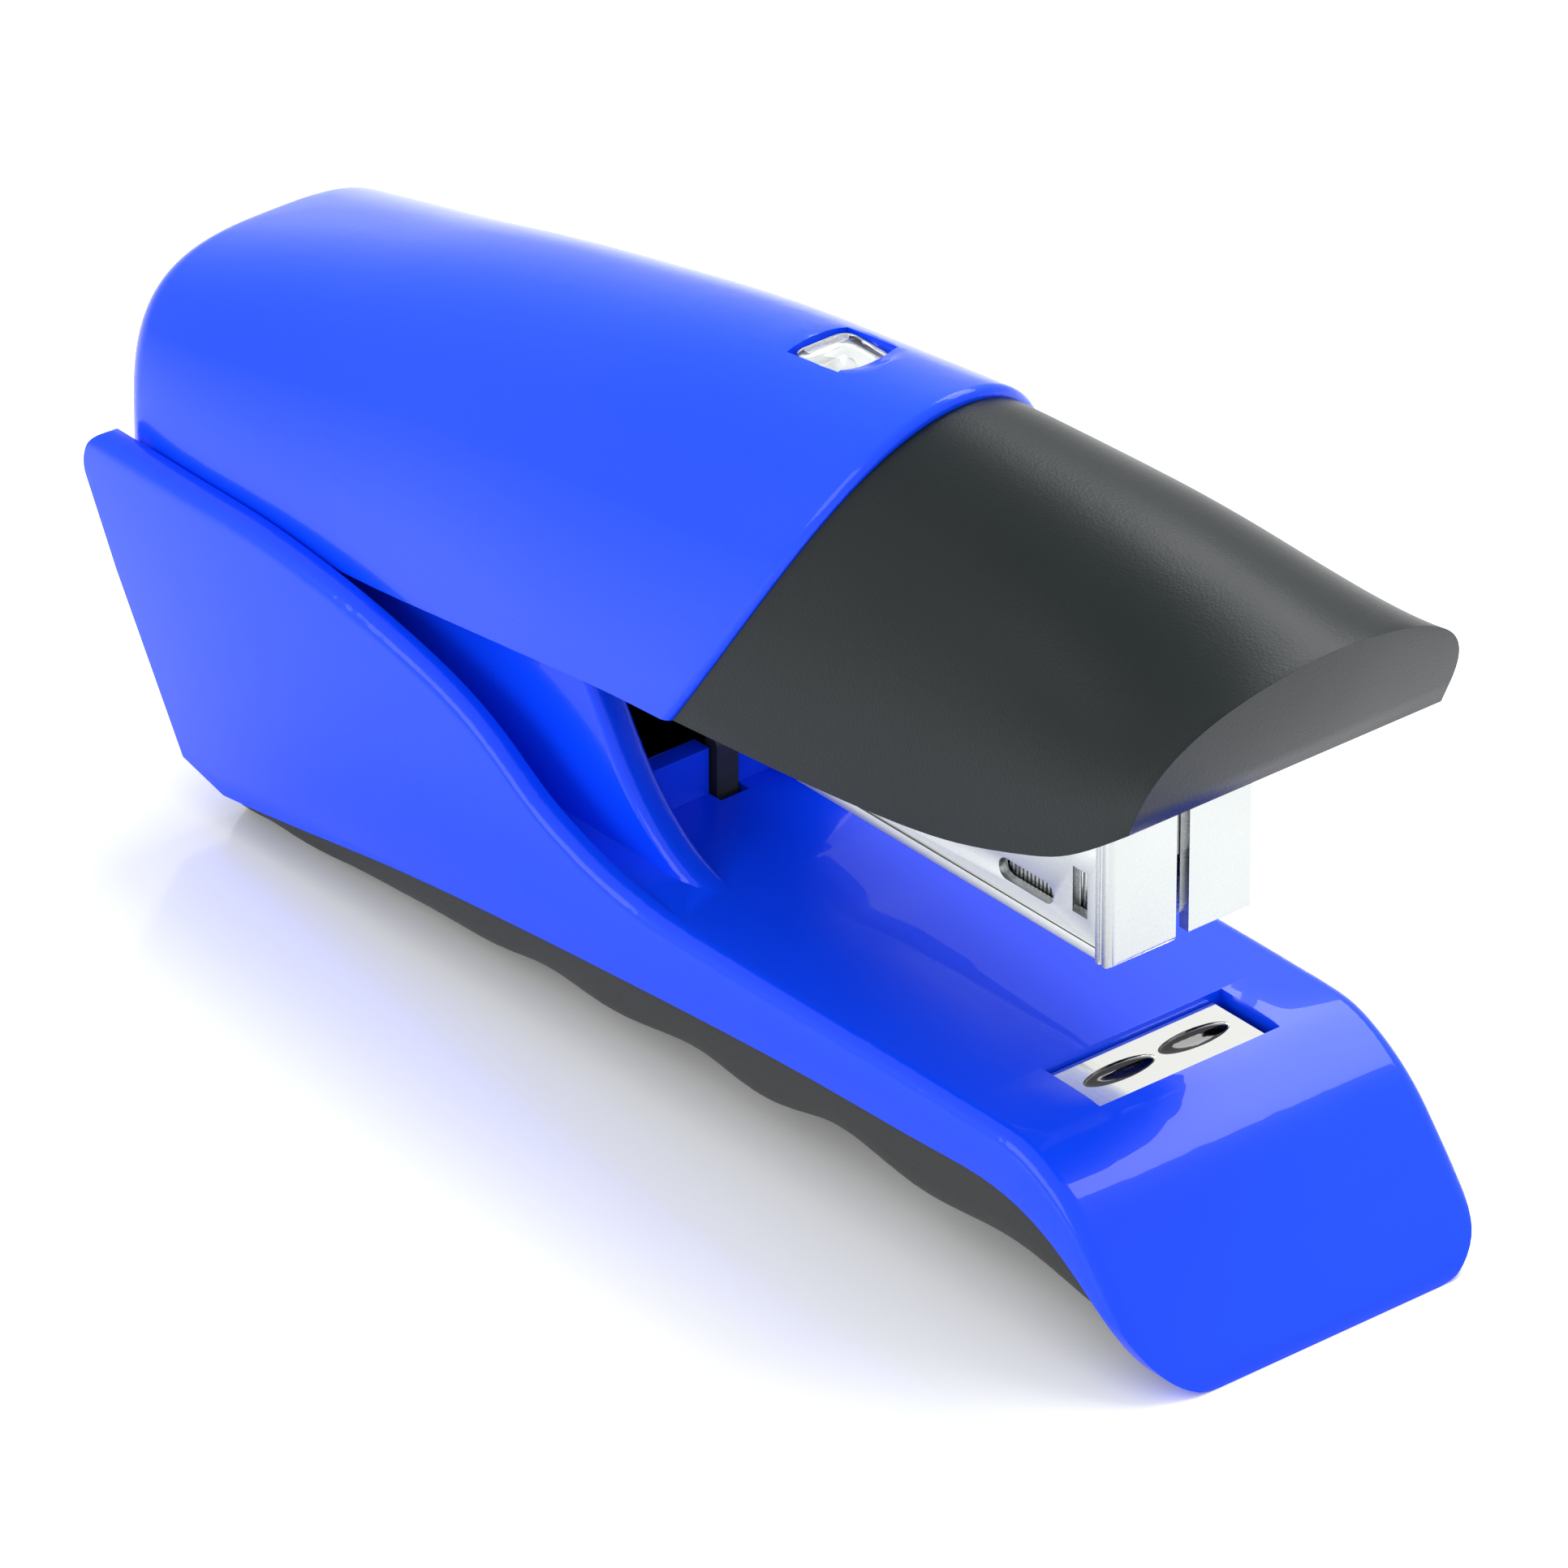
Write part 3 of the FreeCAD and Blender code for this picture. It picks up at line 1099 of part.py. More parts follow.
def control_parts():
    board = block("board_plate", button_x - 13.5, -5.5, board_z, 23.0, 11.0, 1.0)
    keep("circuit_board", board)
    body = block("tact_body", button_x - 1.5, -1.5, board_z + 1.0, 3.0, 3.0, 0.7)
    cap = bar("tact_cap", "z", button_x, 0.0, board_z + 1.6, 0.3, 0.8)
    keep("button_switch", fuse("tact_fused", [body, cap]))
    keep("indicator_led", block("led_body", button_x + 4.3, -1.6, board_z + 1.0, 1.6, 3.2, 0.9))


def crown(x):
    """Height of the upper body's crown above the table."""
    scale = float(s.crown_height) / 69.7
    x0 = float(rear_x)
    x1 = float(front_x)
    pairs = [(x0 + 1.5, 48.8), (x0 + 6.0, 50.2), (x0 + 20.0, 54.5), (x0 + 36.0, 59.2),
             (x0 + 56.0, 63.9), (x0 + 68.0, 66.3), (x1 - 62.0, 68.3), (x1 - 49.0, 69.8),
             (x1 - 40.0, 70.5)]
    return smooth(pairs, x) * scale


def nose_crown(x):
    scale = float(s.crown_height) / 69.7
    x1 = float(front_x)
    pairs = [(x1 - 70.0, 67.6), (x1 - 56.0, 68.7), (x1 - 48.0, 69.2), (x1 - 37.0, 69.2),
             (x1 - 22.0, 68.8), (x1 - 8.0, 67.3), (x1 + 4.0, 65.4)]
    return smooth(pairs, x) * scale


def lower_edge(x):
    """Height of the upper body's lower edge."""
    x0 = float(rear_x)
    x1 = float(front_x)
    pairs = [(x0 + 1.5, 30.0), (x0 + 18.0, 30.6), (x0 + 36.0, 31.8), (x0 + 54.0, 34.2),
             (x0 + 69.0, 36.0), (x1 - 66.0, 36.7), (x1 - 47.0, 38.6), (x1 - 34.0, 40.4),
             (x1 - 26.0, 42.3), (x1 - 16.0, 45.9), (x1 - 11.0, 48.9), (x1 - 6.7, 52.0),
             (x1 + 4.0, 61.0)]
    return smooth(pairs, x)


def shoulder(x):
    """Height where the vertical sides turn into the arch."""
    x0 = float(rear_x)
    x1 = float(front_x)
    pairs = [(x0 + 1.5, 33.5), (x0 + 20.0, 35.0), (x0 + 40.0, 36.5), (x0 + 62.0, 37.6),
             (x1 - 62.0, 38.3), (x1 - 47.0, 40.4), (x1 - 32.0, 43.2), (x1 - 20.0, 47.4),
             (x1 - 8.0, 53.0), (x1 + 4.0, 61.4)]
    return smooth(pairs, x)


def half_breadth(x):
    x0 = float(rear_x)
    x1 = float(front_x)
    low = float(head_rear_half)
    high = float(head_half)
    pairs = [(x0 + 1.5, low - 0.5), (x0 + 10.0, low), (x0 + 34.0, low), (x0 + 46.0, (low + high) / 2),
             (x0 + 60.0, high), (x1 - 10.0, high), (x1 + 4.0, high)]
    return smooth(pairs, x)


def roundness(x):
    """Exponent of the arch: 2 is an ellipse, more is squarer."""
    x0 = float(rear_x)
    x1 = float(front_x)
    return smooth([(x0 + 1.5, 3.2), (x0 + 8.0, 2.8), (x0 + 24.0, 2.35), (x0 + 45.0, 2.15),
                   (x1 - 66.0, 2.05), (x1 - 48.0, 2.05), (x1 - 30.0, 2.15), (x1 - 14.0, 1.98),
                   (x1 + 4.0, 1.70)], x)


def arch_section(x, height, inset, open_bottom):
    """A section of the upper body: vertical sides under a smooth arch."""
    half = half_breadth(x) - inset
    low = lower_edge(x) - (3.0 if open_bottom else 0.0)
    start = max(shoulder(x), low + 0.2)
    rise = height - inset - start
    power = 2.0 / roundness(x)
    count = 16
    arch = []
    for step in range(count + 1):
        angle = math.pi * step / count
        y = -half * math.copysign(abs(math.cos(angle)) ** power, math.cos(angle))
        arch.append(V(x, y, start + rise * abs(math.sin(angle)) ** power))
    arch[0] = V(x, -half, start)
    arch[-1] = V(x, half, start)
    left = V(x, -half, low)
    right = V(x, half, low)
    return Part.Wire([line(left, arch[0]), spline(arch), line(arch[-1], right), line(right, left)])


def arch_loft(stations, profile, inset, step_in, open_bottom=False):
    sections = [arch_section(x, profile(x) - step_in, inset + step_in, open_bottom)
                for x in stations]
    return Part.makeLoft(sections, True, False)


def seam_tool(shift):
    """Everything in front of the seam between shell and nose cover."""
    x1 = float(front_x)
    low = V(x1 - 65.9 + shift, -30, 36.4)
    bulge = V(x1 - 57.0 + shift, -30, 49.8)
    high = V(x1 - 47.0 + shift, -30, 70.4)
    start = V(low.x - 3.2, -30, 30.0)
    end = V(high.x + 3.0, -30, 80.0)
    far_high = V(x1 + 40, -30, 80.0)
    far_low = V(x1 + 40, -30, 30.0)
    edges = [line(start, low), Part.Arc(low, bulge, high).toShape(), line(high, end),
             line(end, far_high), line(far_high, far_low), line(far_low, start)]
    return Part.Face(Part.Wire(edges)).extrude(V(0, 60, 0))


def nose_face_tool(shift):
    """Everything in front of the leaning nose face."""
    x = float(nose_edge_x) - shift
    lean = float(s.nose_lean)
    return prism([(x - 12.0 * lean, 40.0), (x + 38.0 * lean, 90.0), (x + 60.0, 90.0), (x + 60.0, 40.0)],
                 -30.0, 30.0)


def top_shell():
    x_low = float(head_rear_x)
    x_high = float(front_x) - 38.0
    wall = float(s.shell_wall)
    outer = arch_loft(spread(x_low, x_high, 14), crown, 0.0, 0.0)
    rear_arch = edges_where(outer, lambda e: abs(e.BoundBox.XMax - x_low) < 1e-6
                            and e.BoundBox.ZMax > 40.0)
    outer = outer.makeFillet(3.6, rear_arch)
    inner = arch_loft(spread(x_low + wall, x_high + 4.0, 14), crown, wall, 0.0, open_bottom=True)
    shell = outer.cut(inner).cut(seam_tool(0.0))
    shell = shell.cut(solid_box(x_low - 1, x_low + wall + 1, -door_half - 0.3, door_half + 0.3,
                                door_low - 0.3, door_high + 0.3))
    gap = float(s.fit_gap)
    half = float(s.button_width) / 2 + gap
    bx = float(button_x)
    shell = shell.cut(solid_box(bx - half, bx + half, -half, half, 60.0, 80.0))
    dish = Part.makeSphere(11.0, V(bx, 0, crown(bx) + 11.0 - float(s.button_dish)))
    shell = shell.cut(dish)
    for x in (bx - 11.0, bx + 7.6):
        post = solid_bar("z", x, 0.0, board_z + 1.0, 10.0, 1.6)
        shell = shell.fuse(post.common(outer))
    shell = single(shell)
    seam_edges = edges_where(shell, lambda e: middle(e).x > bx + 9.0 and middle(e).z > 60.0)
    outer_seam = max(seam_edges, key=lambda e: e.Length)
    return feature("top_shell", shell.makeFillet(float(s.lip_round), [outer_seam]))


def battery_door():
    x = head_rear_x
    panel = block("door_panel", x, -door_half, door_low, s.shell_wall, 2 * door_half,
                  door_high - door_low)
    ribs = [block(f"door_rib_{number}", x - 0.4, -6.0, door_low + 3.0 + 2.0 * number, 0.6, 12.0, 0.7)
            for number in range(3)]
    return keep("battery_door", fuse("door_fused", [panel] + ribs))


def nose_cover():
    x_low = float(front_x) - 70.0
    x_high = float(front_x) + 3.0
    wall = float(s.shell_wall)
    step_in = float(s.nose_step)
    stations = spread(x_low, x_high, 16)
    outer = nose_outer(stations, step_in)
    inner = arch_loft(stations, nose_crown, wall + step_in, 0.0)
    above_floor = inner.copy()
    above_floor.translate(V(0, 0, 1.2))
    hollow = above_floor.common(inner).cut(nose_face_tool(wall + 0.4))
    cover = outer.cut(nose_face_tool(0.0)).cut(hollow)
    window_half = float(magazine_half + s.casing_side) + 0.9
    opening_top = lower_edge(float(magazine_front)) + 6.0
    cover = cover.cut(solid_box(x_low - 5, magazine_front + 3.8, -window_half, window_half, 30.0,
                                opening_top))
    return feature("nose_cover", single(cover.common(seam_tool(0.0))))


def nose_outer(stations, step_in):
    """The nose starts a little inside the shell's lip and reaches full width at its front."""
    x_low, x_high = stations[0], stations[-1]
    sections = []
    for x in stations:
        share = max(0.0, 1.0 - (x - x_low) / (0.8 * (x_high - x_low)))
        sections.append(arch_section(x, nose_crown(x), step_in * share, False))
    return Part.makeLoft(sections, True, False)


def lens_button():
    half = s.button_width / 2
    top = crown(float(button_x)) - s.button_dish
    flange_low = board_z + 2.8
    stem = block("button_stem", button_x - half, -half, flange_low, s.button_width, s.button_width,
                 top - flange_low)
    rounded = doc.addObject("Part::Fillet", "button_round")
    rounded.Base = stem
    doc.recompute()
    corners = [(index, 1.4, 1.4) for index, edge in enumerate(stem.Shape.Edges, start=1)
               if edge.BoundBox.ZLength > 1.0 and edge.BoundBox.XMax < float(button_x)]
    rounded.Edges = corners
    flange = block("button_flange", button_x - half - 0.9, -half - 0.9, flange_low,
                   s.button_width + 1.8, s.button_width + 1.8, 0.7)
    return keep("lens_button", fuse("button_fused", [rounded, flange]))


# ---------------------------------------------------------------- build and write
base_shell()
bottom_grip()
base_screws()
anvil_plate()
pivot_parts()
trigger_parts()
magazine_channel()
front_casing()
staple_rail()
staple_strip()
pusher()
springs()
driver_blade()
gear_train()
gear_shafts()
gear_frame()
drive_lever()
head_frame()
battery_parts()
motor_parts()
control_parts()
top_shell()
battery_door()
nose_cover()
lens_button()

doc.recompute()
for thing in doc.Objects:
    if "Invalid" in thing.State or "Error" in thing.State:
        raise RuntimeError(f"{thing.Label} did not compute: {thing.State}")
for name, thing in NODES.items():
    if thing.Shape.isNull() or not thing.Shape.isValid():
        raise RuntimeError(f"{name} has no valid shape")

os.makedirs("parts", exist_ok=True)
for name, thing in NODES.items():
    shape = thing.Shape
    box = shape.BoundBox
    print(f"{name:18s} solids {len(shape.Solids)} volume {shape.Volume:9.2f} "
          f"x {box.XMin:7.2f} {box.XMax:7.2f} y {box.YMin:7.2f} {box.YMax:7.2f} "
          f"z {box.ZMin:6.2f} {box.ZMax:6.2f}")
    shape.exportStep(f"parts/{name}.step")
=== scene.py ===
import math

import bpy
from mathutils import Matrix, Vector


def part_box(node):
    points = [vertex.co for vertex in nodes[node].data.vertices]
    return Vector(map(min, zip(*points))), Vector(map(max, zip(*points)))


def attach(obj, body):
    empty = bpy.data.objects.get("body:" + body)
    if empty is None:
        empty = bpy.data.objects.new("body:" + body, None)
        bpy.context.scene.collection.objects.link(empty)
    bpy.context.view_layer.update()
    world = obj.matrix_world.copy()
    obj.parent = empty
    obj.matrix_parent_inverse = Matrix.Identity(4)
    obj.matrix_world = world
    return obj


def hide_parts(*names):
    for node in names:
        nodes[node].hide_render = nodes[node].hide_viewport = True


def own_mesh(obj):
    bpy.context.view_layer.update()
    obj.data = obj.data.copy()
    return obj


# %% [markdown]
# This lesson gives a cordless electric stapler its looks.  The CAD model has been packed already,
# so every part stands in its real place, in metres, with +X at the nose and +Z up.  The lesson
# never moves those parts.  It paints them, and it models by hand the parts whose surface the CAD
# model only roughs out.

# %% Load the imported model
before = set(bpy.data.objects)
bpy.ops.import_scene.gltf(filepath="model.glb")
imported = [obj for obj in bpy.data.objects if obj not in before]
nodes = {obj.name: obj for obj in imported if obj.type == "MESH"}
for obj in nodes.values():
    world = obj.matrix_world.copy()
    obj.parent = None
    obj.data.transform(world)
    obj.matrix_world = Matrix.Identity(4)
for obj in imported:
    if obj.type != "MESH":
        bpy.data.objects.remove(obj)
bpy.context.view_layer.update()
MM = 0.001
bpy.ops.object.select_all(action="DESELECT")

# %% [markdown]
# A finish is more than one colour.  Moulded plastic varies a little in gloss, a textured mould
# leaves a grain, and rolled or plated metal keeps fine lines.  Each of these effects is wanted in
# several finishes, so each is a node group: built once, then placed with other numbers.  All of
# them read Object coordinates, so the pattern is fixed to the part and has its real size.


# %% A helper that starts a node group
def start_group(name, inputs, outputs):
    group = bpy.data.node_groups.new(name, "ShaderNodeTree")
    for label, value in inputs.items():
        socket = group.interface.new_socket(label, in_out="INPUT", socket_type="NodeSocketFloat")
        socket.default_value = value
    for label in outputs:
        group.interface.new_socket(label, in_out="OUTPUT", socket_type="NodeSocketFloat")
    entry = group.nodes.new("NodeGroupInput")
    leave = group.nodes.new("NodeGroupOutput")
    return group, entry, leave


def object_coordinates(tree):
    return tree.nodes.new("ShaderNodeTexCoord").outputs["Object"]


# %% Gloss that wanders a little, as on any moulded part
def build_gloss_drift():
    group, entry, leave = start_group("gloss_drift", {"Scale": 60.0, "Low": 0.2, "High": 0.3},
                                      ["Roughness", "Mask"])
    cloud = group.nodes.new("ShaderNodeTexNoise")
    cloud.inputs["Detail"].default_value = 1.0
    group.links.new(object_coordinates(group), cloud.inputs["Vector"])
    group.links.new(entry.outputs["Scale"], cloud.inputs["Scale"])
    remap = group.nodes.new("ShaderNodeMapRange")
    remap.inputs["From Min"].default_value = 0.3
    remap.inputs["From Max"].default_value = 0.7
    group.links.new(cloud.outputs["Fac"], remap.inputs["Value"])
    group.links.new(entry.outputs["Low"], remap.inputs["To Min"])
    group.links.new(entry.outputs["High"], remap.inputs["To Max"])
    group.links.new(remap.outputs["Result"], leave.inputs["Roughness"])
    group.links.new(cloud.outputs["Fac"], leave.inputs["Mask"])
    return group


gloss_drift = build_gloss_drift()


# %% The fine pebble grain of a textured mould
def build_mould_grain():
    group, entry, leave = start_group("mould_grain", {"Scale": 3000.0}, ["Height"])
    pebble = group.nodes.new("ShaderNodeTexVoronoi")
    pebble.feature = "SMOOTH_F1"
    group.links.new(object_coordinates(group), pebble.inputs["Vector"])
    group.links.new(entry.outputs["Scale"], pebble.inputs["Scale"])
    group.links.new(pebble.outputs["Distance"], leave.inputs["Height"])
    return group


mould_grain = build_mould_grain()


# %% The long lines that rolling, grinding or plating leaves in metal
def build_metal_lines():
    group, entry, leave = start_group("metal_lines", {"Scale": 2500.0, "Low": 0.2, "High": 0.3},
                                      ["Height", "Roughness"])
    stretch = group.nodes.new("ShaderNodeMapping")
    stretch.inputs["Scale"].default_value = (0.03, 1.0, 1.0)
    group.links.new(object_coordinates(group), stretch.inputs["Vector"])
    line_noise = group.nodes.new("ShaderNodeTexNoise")
    line_noise.inputs["Detail"].default_value = 2.0
    group.links.new(stretch.outputs["Vector"], line_noise.inputs["Vector"])
    group.links.new(entry.outputs["Scale"], line_noise.inputs["Scale"])
    remap = group.nodes.new("ShaderNodeMapRange")
    remap.inputs["From Min"].default_value = 0.3
    remap.inputs["From Max"].default_value = 0.7
    group.links.new(line_noise.outputs["Fac"], remap.inputs["Value"])
    group.links.new(entry.outputs["Low"], remap.inputs["To Min"])
    group.links.new(entry.outputs["High"], remap.inputs["To Max"])
    group.links.new(line_noise.outputs["Fac"], leave.inputs["Height"])
    group.links.new(remap.outputs["Result"], leave.inputs["Roughness"])
    return group


metal_lines = build_metal_lines()
print("node groups:", [group.name for group in bpy.data.node_groups])

# %% [markdown]
# Two makers cover every finish.  Plastic is a coloured body under a clear skin, so it takes two
# tints that a noise mixes, a drifting gloss and a grain.  Metal has no body colour of its own, so
# it takes one reflecting tint and the lines.  Numbers that are the same all over go straight onto
# the shader, where they can be read and changed at a glance.


# %% Helpers for a material's tree
def start_material(name):
    material = bpy.data.materials.new(name)
    material.use_nodes = True
    tree = material.node_tree
    return material, tree, tree.nodes["Principled BSDF"]


def place(tree, group, **numbers):
    node = tree.nodes.new("ShaderNodeGroup")
    node.node_tree = group
    for label, value in numbers.items():
        node.inputs[label].default_value = value
    return node


def add_bump(tree, shader, height, strength, distance):
    bump = tree.nodes.new("ShaderNodeBump")
    bump.inputs["Strength"].default_value = strength
    bump.inputs["Distance"].default_value = distance
    tree.links.new(height, bump.inputs["Height"])
    tree.links.new(bump.outputs["Normal"], shader.inputs["Normal"])


def mix_tints(tree, shader, mask, first, second):
    mix = tree.nodes.new("ShaderNodeMix")
    mix.data_type = "RGBA"
    mix.inputs["A"].default_value = (*first, 1.0)
    mix.inputs["B"].default_value = (*second, 1.0)
    tree.links.new(mask, mix.inputs["Factor"])
    tree.links.new(mix.outputs["Result"], shader.inputs["Base Color"])


# %% Moulded plastic
def moulded_plastic(name, tint, second_tint, gloss, grain_scale, grain_depth,
                    coat=0.0, specular=0.5, drift_scale=45.0):
    material, tree, shader = start_material(name)
    drift = place(tree, gloss_drift, Scale=drift_scale, Low=gloss[0], High=gloss[1])
    grain = place(tree, mould_grain, Scale=grain_scale)
    mix_tints(tree, shader, drift.outputs["Mask"], tint, second_tint)
    tree.links.new(drift.outputs["Roughness"], shader.inputs["Roughness"])
    add_bump(tree, shader, grain.outputs["Height"], 0.5, grain_depth)
    shader.inputs["Specular IOR Level"].default_value = specular
    shader.inputs["Coat Weight"].default_value = coat
    shader.inputs["Coat Roughness"].default_value = 0.02
    return material


# %% Plated, rolled or drawn metal
def worked_metal(name, tint, second_tint, gloss, line_scale, line_depth):
    material, tree, shader = start_material(name)
    lines = place(tree, metal_lines, Scale=line_scale, Low=gloss[0], High=gloss[1])
    drift = place(tree, gloss_drift, Scale=90.0, Low=0.0, High=1.0)
    mix_tints(tree, shader, drift.outputs["Mask"], tint, second_tint)
    tree.links.new(lines.outputs["Roughness"], shader.inputs["Roughness"])
    add_bump(tree, shader, lines.outputs["Height"], 0.4, line_depth)
    shader.inputs["Metallic"].default_value = 1.0
    return material


# %% [markdown]
# Now the finishes themselves.  The base and upper shell are one deep blue, polished in the mould.
# The nose is satin dark grey with a fine grain, and the grip underneath is the same idea, blacker
# and rougher.  The magazine is satin nickel, which looks almost white in a white studio.  The
# anvil gets a chrome of its own in a later cell.

# %% The finishes
finish = {
    "blue_plastic": moulded_plastic("blue_gloss", (0.002, 0.052, 0.90), (0.002, 0.057, 0.93),
        gloss=(0.26, 0.30), grain_scale=900.0, grain_depth=0.000002, coat=0.30,
        specular=0.10, drift_scale=11.0),
    "grey_plastic": moulded_plastic("grey_satin", (0.002, 0.005, 0.006), (0.004, 0.008, 0.009),
        gloss=(0.34, 0.42), grain_scale=4200.0, grain_depth=0.00003, specular=0.20),
    "black_plastic": moulded_plastic("black_matt", (0.016, 0.018, 0.017), (0.022, 0.025, 0.023),
        gloss=(0.52, 0.62), grain_scale=3600.0, grain_depth=0.00004),
    "white_nylon": moulded_plastic("white_nylon", (0.78, 0.78, 0.72), (0.84, 0.84, 0.80),
        gloss=(0.35, 0.45), grain_scale=2000.0, grain_depth=0.00001),
    "cell_wrap": moulded_plastic("cell_wrap", (0.02, 0.02, 0.024), (0.03, 0.03, 0.034),
        gloss=(0.18, 0.26), grain_scale=1500.0, grain_depth=0.000004, coat=0.3),
    "board_green": moulded_plastic("solder_mask", (0.010, 0.12, 0.045), (0.014, 0.16, 0.06),
        gloss=(0.25, 0.35), grain_scale=1800.0, grain_depth=0.00002),
    "nickel": worked_metal("satin_nickel", (0.50, 0.52, 0.515), (0.56, 0.58, 0.575),
        gloss=(0.26, 0.30), line_scale=2600.0, line_depth=0.000001),
    "steel": worked_metal("rolled_steel", (0.50, 0.50, 0.51), (0.58, 0.58, 0.59),
        gloss=(0.28, 0.40), line_scale=2200.0, line_depth=0.000012),
    "staple_metal": worked_metal("galvanised_wire", (0.62, 0.63, 0.65), (0.70, 0.71, 0.72),
        gloss=(0.22, 0.32), line_scale=2400.0, line_depth=0.000008),
    "spring_steel": worked_metal("spring_steel", (0.36, 0.36, 0.37), (0.44, 0.44, 0.45),
        gloss=(0.25, 0.35), line_scale=2400.0, line_depth=0.000008),
    "contact_metal": worked_metal("contact_plate", (0.70, 0.68, 0.62), (0.76, 0.74, 0.68),
        gloss=(0.20, 0.30), line_scale=2400.0, line_depth=0.000008),
    "brass": worked_metal("cut_brass", (0.72, 0.50, 0.20), (0.78, 0.56, 0.25),
        gloss=(0.22, 0.32), line_scale=2200.0, line_depth=0.000010),
}
print("finishes:", sorted(finish))

# %% [markdown]
# The two pockets of the anvil get painted shade. A polished pocket under the head mirrors the dark
# nose and lies in shade, and that darkness is painted into its colour, so the pockets look almost
# black beside the bright plate.  The colour is chosen by depth: a Map Range node turns the height of a
# point below the plate's upper face into a mask, which works in Object coordinates because every part
# keeps its place in its mesh.


# %% Chrome with painted shade in its pockets
def chrome_with_painted_shade(name, face_height, painted_shade_depth):
    material, tree, shader = start_material(name)
    lines = place(tree, metal_lines, Scale=1800.0, Low=0.05, High=0.09)
    coordinates = tree.nodes.new("ShaderNodeTexCoord")
    split = tree.nodes.new("ShaderNodeSeparateXYZ")
    # This mask is the painted shade: it grows with depth below the plate's upper face.
    depth = tree.nodes.new("ShaderNodeMapRange")
    depth.inputs["From Min"].default_value = face_height
    depth.inputs["From Max"].default_value = face_height - painted_shade_depth
    tree.links.new(coordinates.outputs["Object"], split.inputs["Vector"])
    tree.links.new(split.outputs["Z"], depth.inputs["Value"])
    # The second tint, near black, is painted shade and painted reflection for the pockets.
    mix_tints(tree, shader, depth.outputs["Result"], (0.80, 0.81, 0.78), (0.05, 0.05, 0.05))
    tree.links.new(lines.outputs["Roughness"], shader.inputs["Roughness"])
    add_bump(tree, shader, lines.outputs["Height"], 0.4, 0.000002)
    shader.inputs["Metallic"].default_value = 1.0
    return material


# The painted pocket shade starts this far below the face and reaches full dark over the next depth.
POCKET_START = 0.05 * MM
POCKET_SHADE_DEPTH = 0.25 * MM
anvil_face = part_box("anvil_plate")[1][2]
finish["chrome"] = chrome_with_painted_shade("anvil_chrome_painted_shade", anvil_face - POCKET_START, POCKET_SHADE_DEPTH)
print("anvil face height in mm:", round(anvil_face / MM, 2))

# %% [markdown]
# The lens is a clear plastic window with a lamp behind it.  A clear part is glass to the renderer:
# full transmission, and a plain refractive index on the shader.  Very fine waves in its surface
# keep it from looking like a perfect block.


# %% Clear plastic and the lamp
def clear_window(name):
    material, tree, shader = start_material(name)
    drift = place(tree, gloss_drift, Scale=300.0, Low=0.02, High=0.06)
    mix_tints(tree, shader, drift.outputs["Mask"], (0.90, 0.92, 0.94), (0.97, 0.97, 0.97))
    tree.links.new(drift.outputs["Roughness"], shader.inputs["Roughness"])
    add_bump(tree, shader, drift.outputs["Mask"], 0.3, 0.00002)
    shader.inputs["Transmission Weight"].default_value = 1.0
    shader.inputs["IOR"].default_value = 1.49
    return material


finish["clear_plastic"] = clear_window("clear_plastic")
finish["lamp"] = moulded_plastic("lamp", (0.70, 0.74, 0.66), (0.80, 0.82, 0.76),
                                 gloss=(0.12, 0.2), grain_scale=1200.0, grain_depth=0.000004)

# %% [markdown]
# Each CAD part gets the finish of what it is made of.

# %% Which part has which finish
PARTS_OF = {
    "blue_plastic": ["base_shell", "top_shell", "battery_door"],
    "grey_plastic": ["nose_cover"],
    "black_plastic": ["bottom_grip", "battery_tray", "motor_cradle", "micro_switch",
                      "button_switch", "paper_trigger"],
    "white_nylon": ["pusher", "first_gear", "second_gear"],
    "cell_wrap": ["left_cell", "right_cell"],
    "board_green": ["circuit_board"],
    "chrome": ["anvil_plate"],
    "nickel": ["magazine_channel", "front_casing", "pivot_clips"],
    "steel": ["base_screws", "pivot_pin", "trigger_axle", "driver_blade", "drive_lever",
              "gear_frame", "head_frame", "crank_gear", "crank_pin", "gear_axles", "motor", "motor_shaft",
              "staple_rail", "pusher_rod"],
    "staple_metal": ["staple_strip"],
    "spring_steel": ["pusher_spring", "return_spring", "button_spring"],
    "contact_metal": ["front_contacts", "rear_contact"],
    "brass": ["motor_pinion"],
    "clear_plastic": ["lens_button"],
    "lamp": ["indicator_led"],
}
for slot_name, part_names in PARTS_OF.items():
    for part_name in part_names:
        part = nodes[part_name]
        part.data.materials.clear()
        part.data.materials.append(finish[slot_name])
unpainted = sorted(set(nodes) - {name for names in PARTS_OF.values() for name in names})
print("parts left unpainted:", unpainted)

# %% [markdown]
# The CAD model leaves the nose cover's edges sharp, because its solids have to close exactly.  The
# real cover is moulded with soft edges, and a soft edge is what catches the light.  One way would
# be to model the cover again.  The shorter way, used here, keeps its true shape: the CAD mesh is
# copied, its loose triangles are merged, flat areas become single faces, and a Bevel modifier
# then rounds only the edges that turn sharply.


# %% Helpers for choosing and finishing a piece
def choose(piece):
    bpy.ops.object.select_all(action="DESELECT")
    piece.select_set(True)
    bpy.context.view_layer.objects.active = piece


def finish_piece(piece, body, slot_name):
    piece.data.materials.clear()
    piece.data.materials.append(finish[slot_name])
    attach(piece, body)


# %% Helpers that copy a CAD part and soften the copy's edges
MERGE_DISTANCE = 0.000005
FLAT_DEGREES = 0.4
SOFT_SEGMENTS = 4


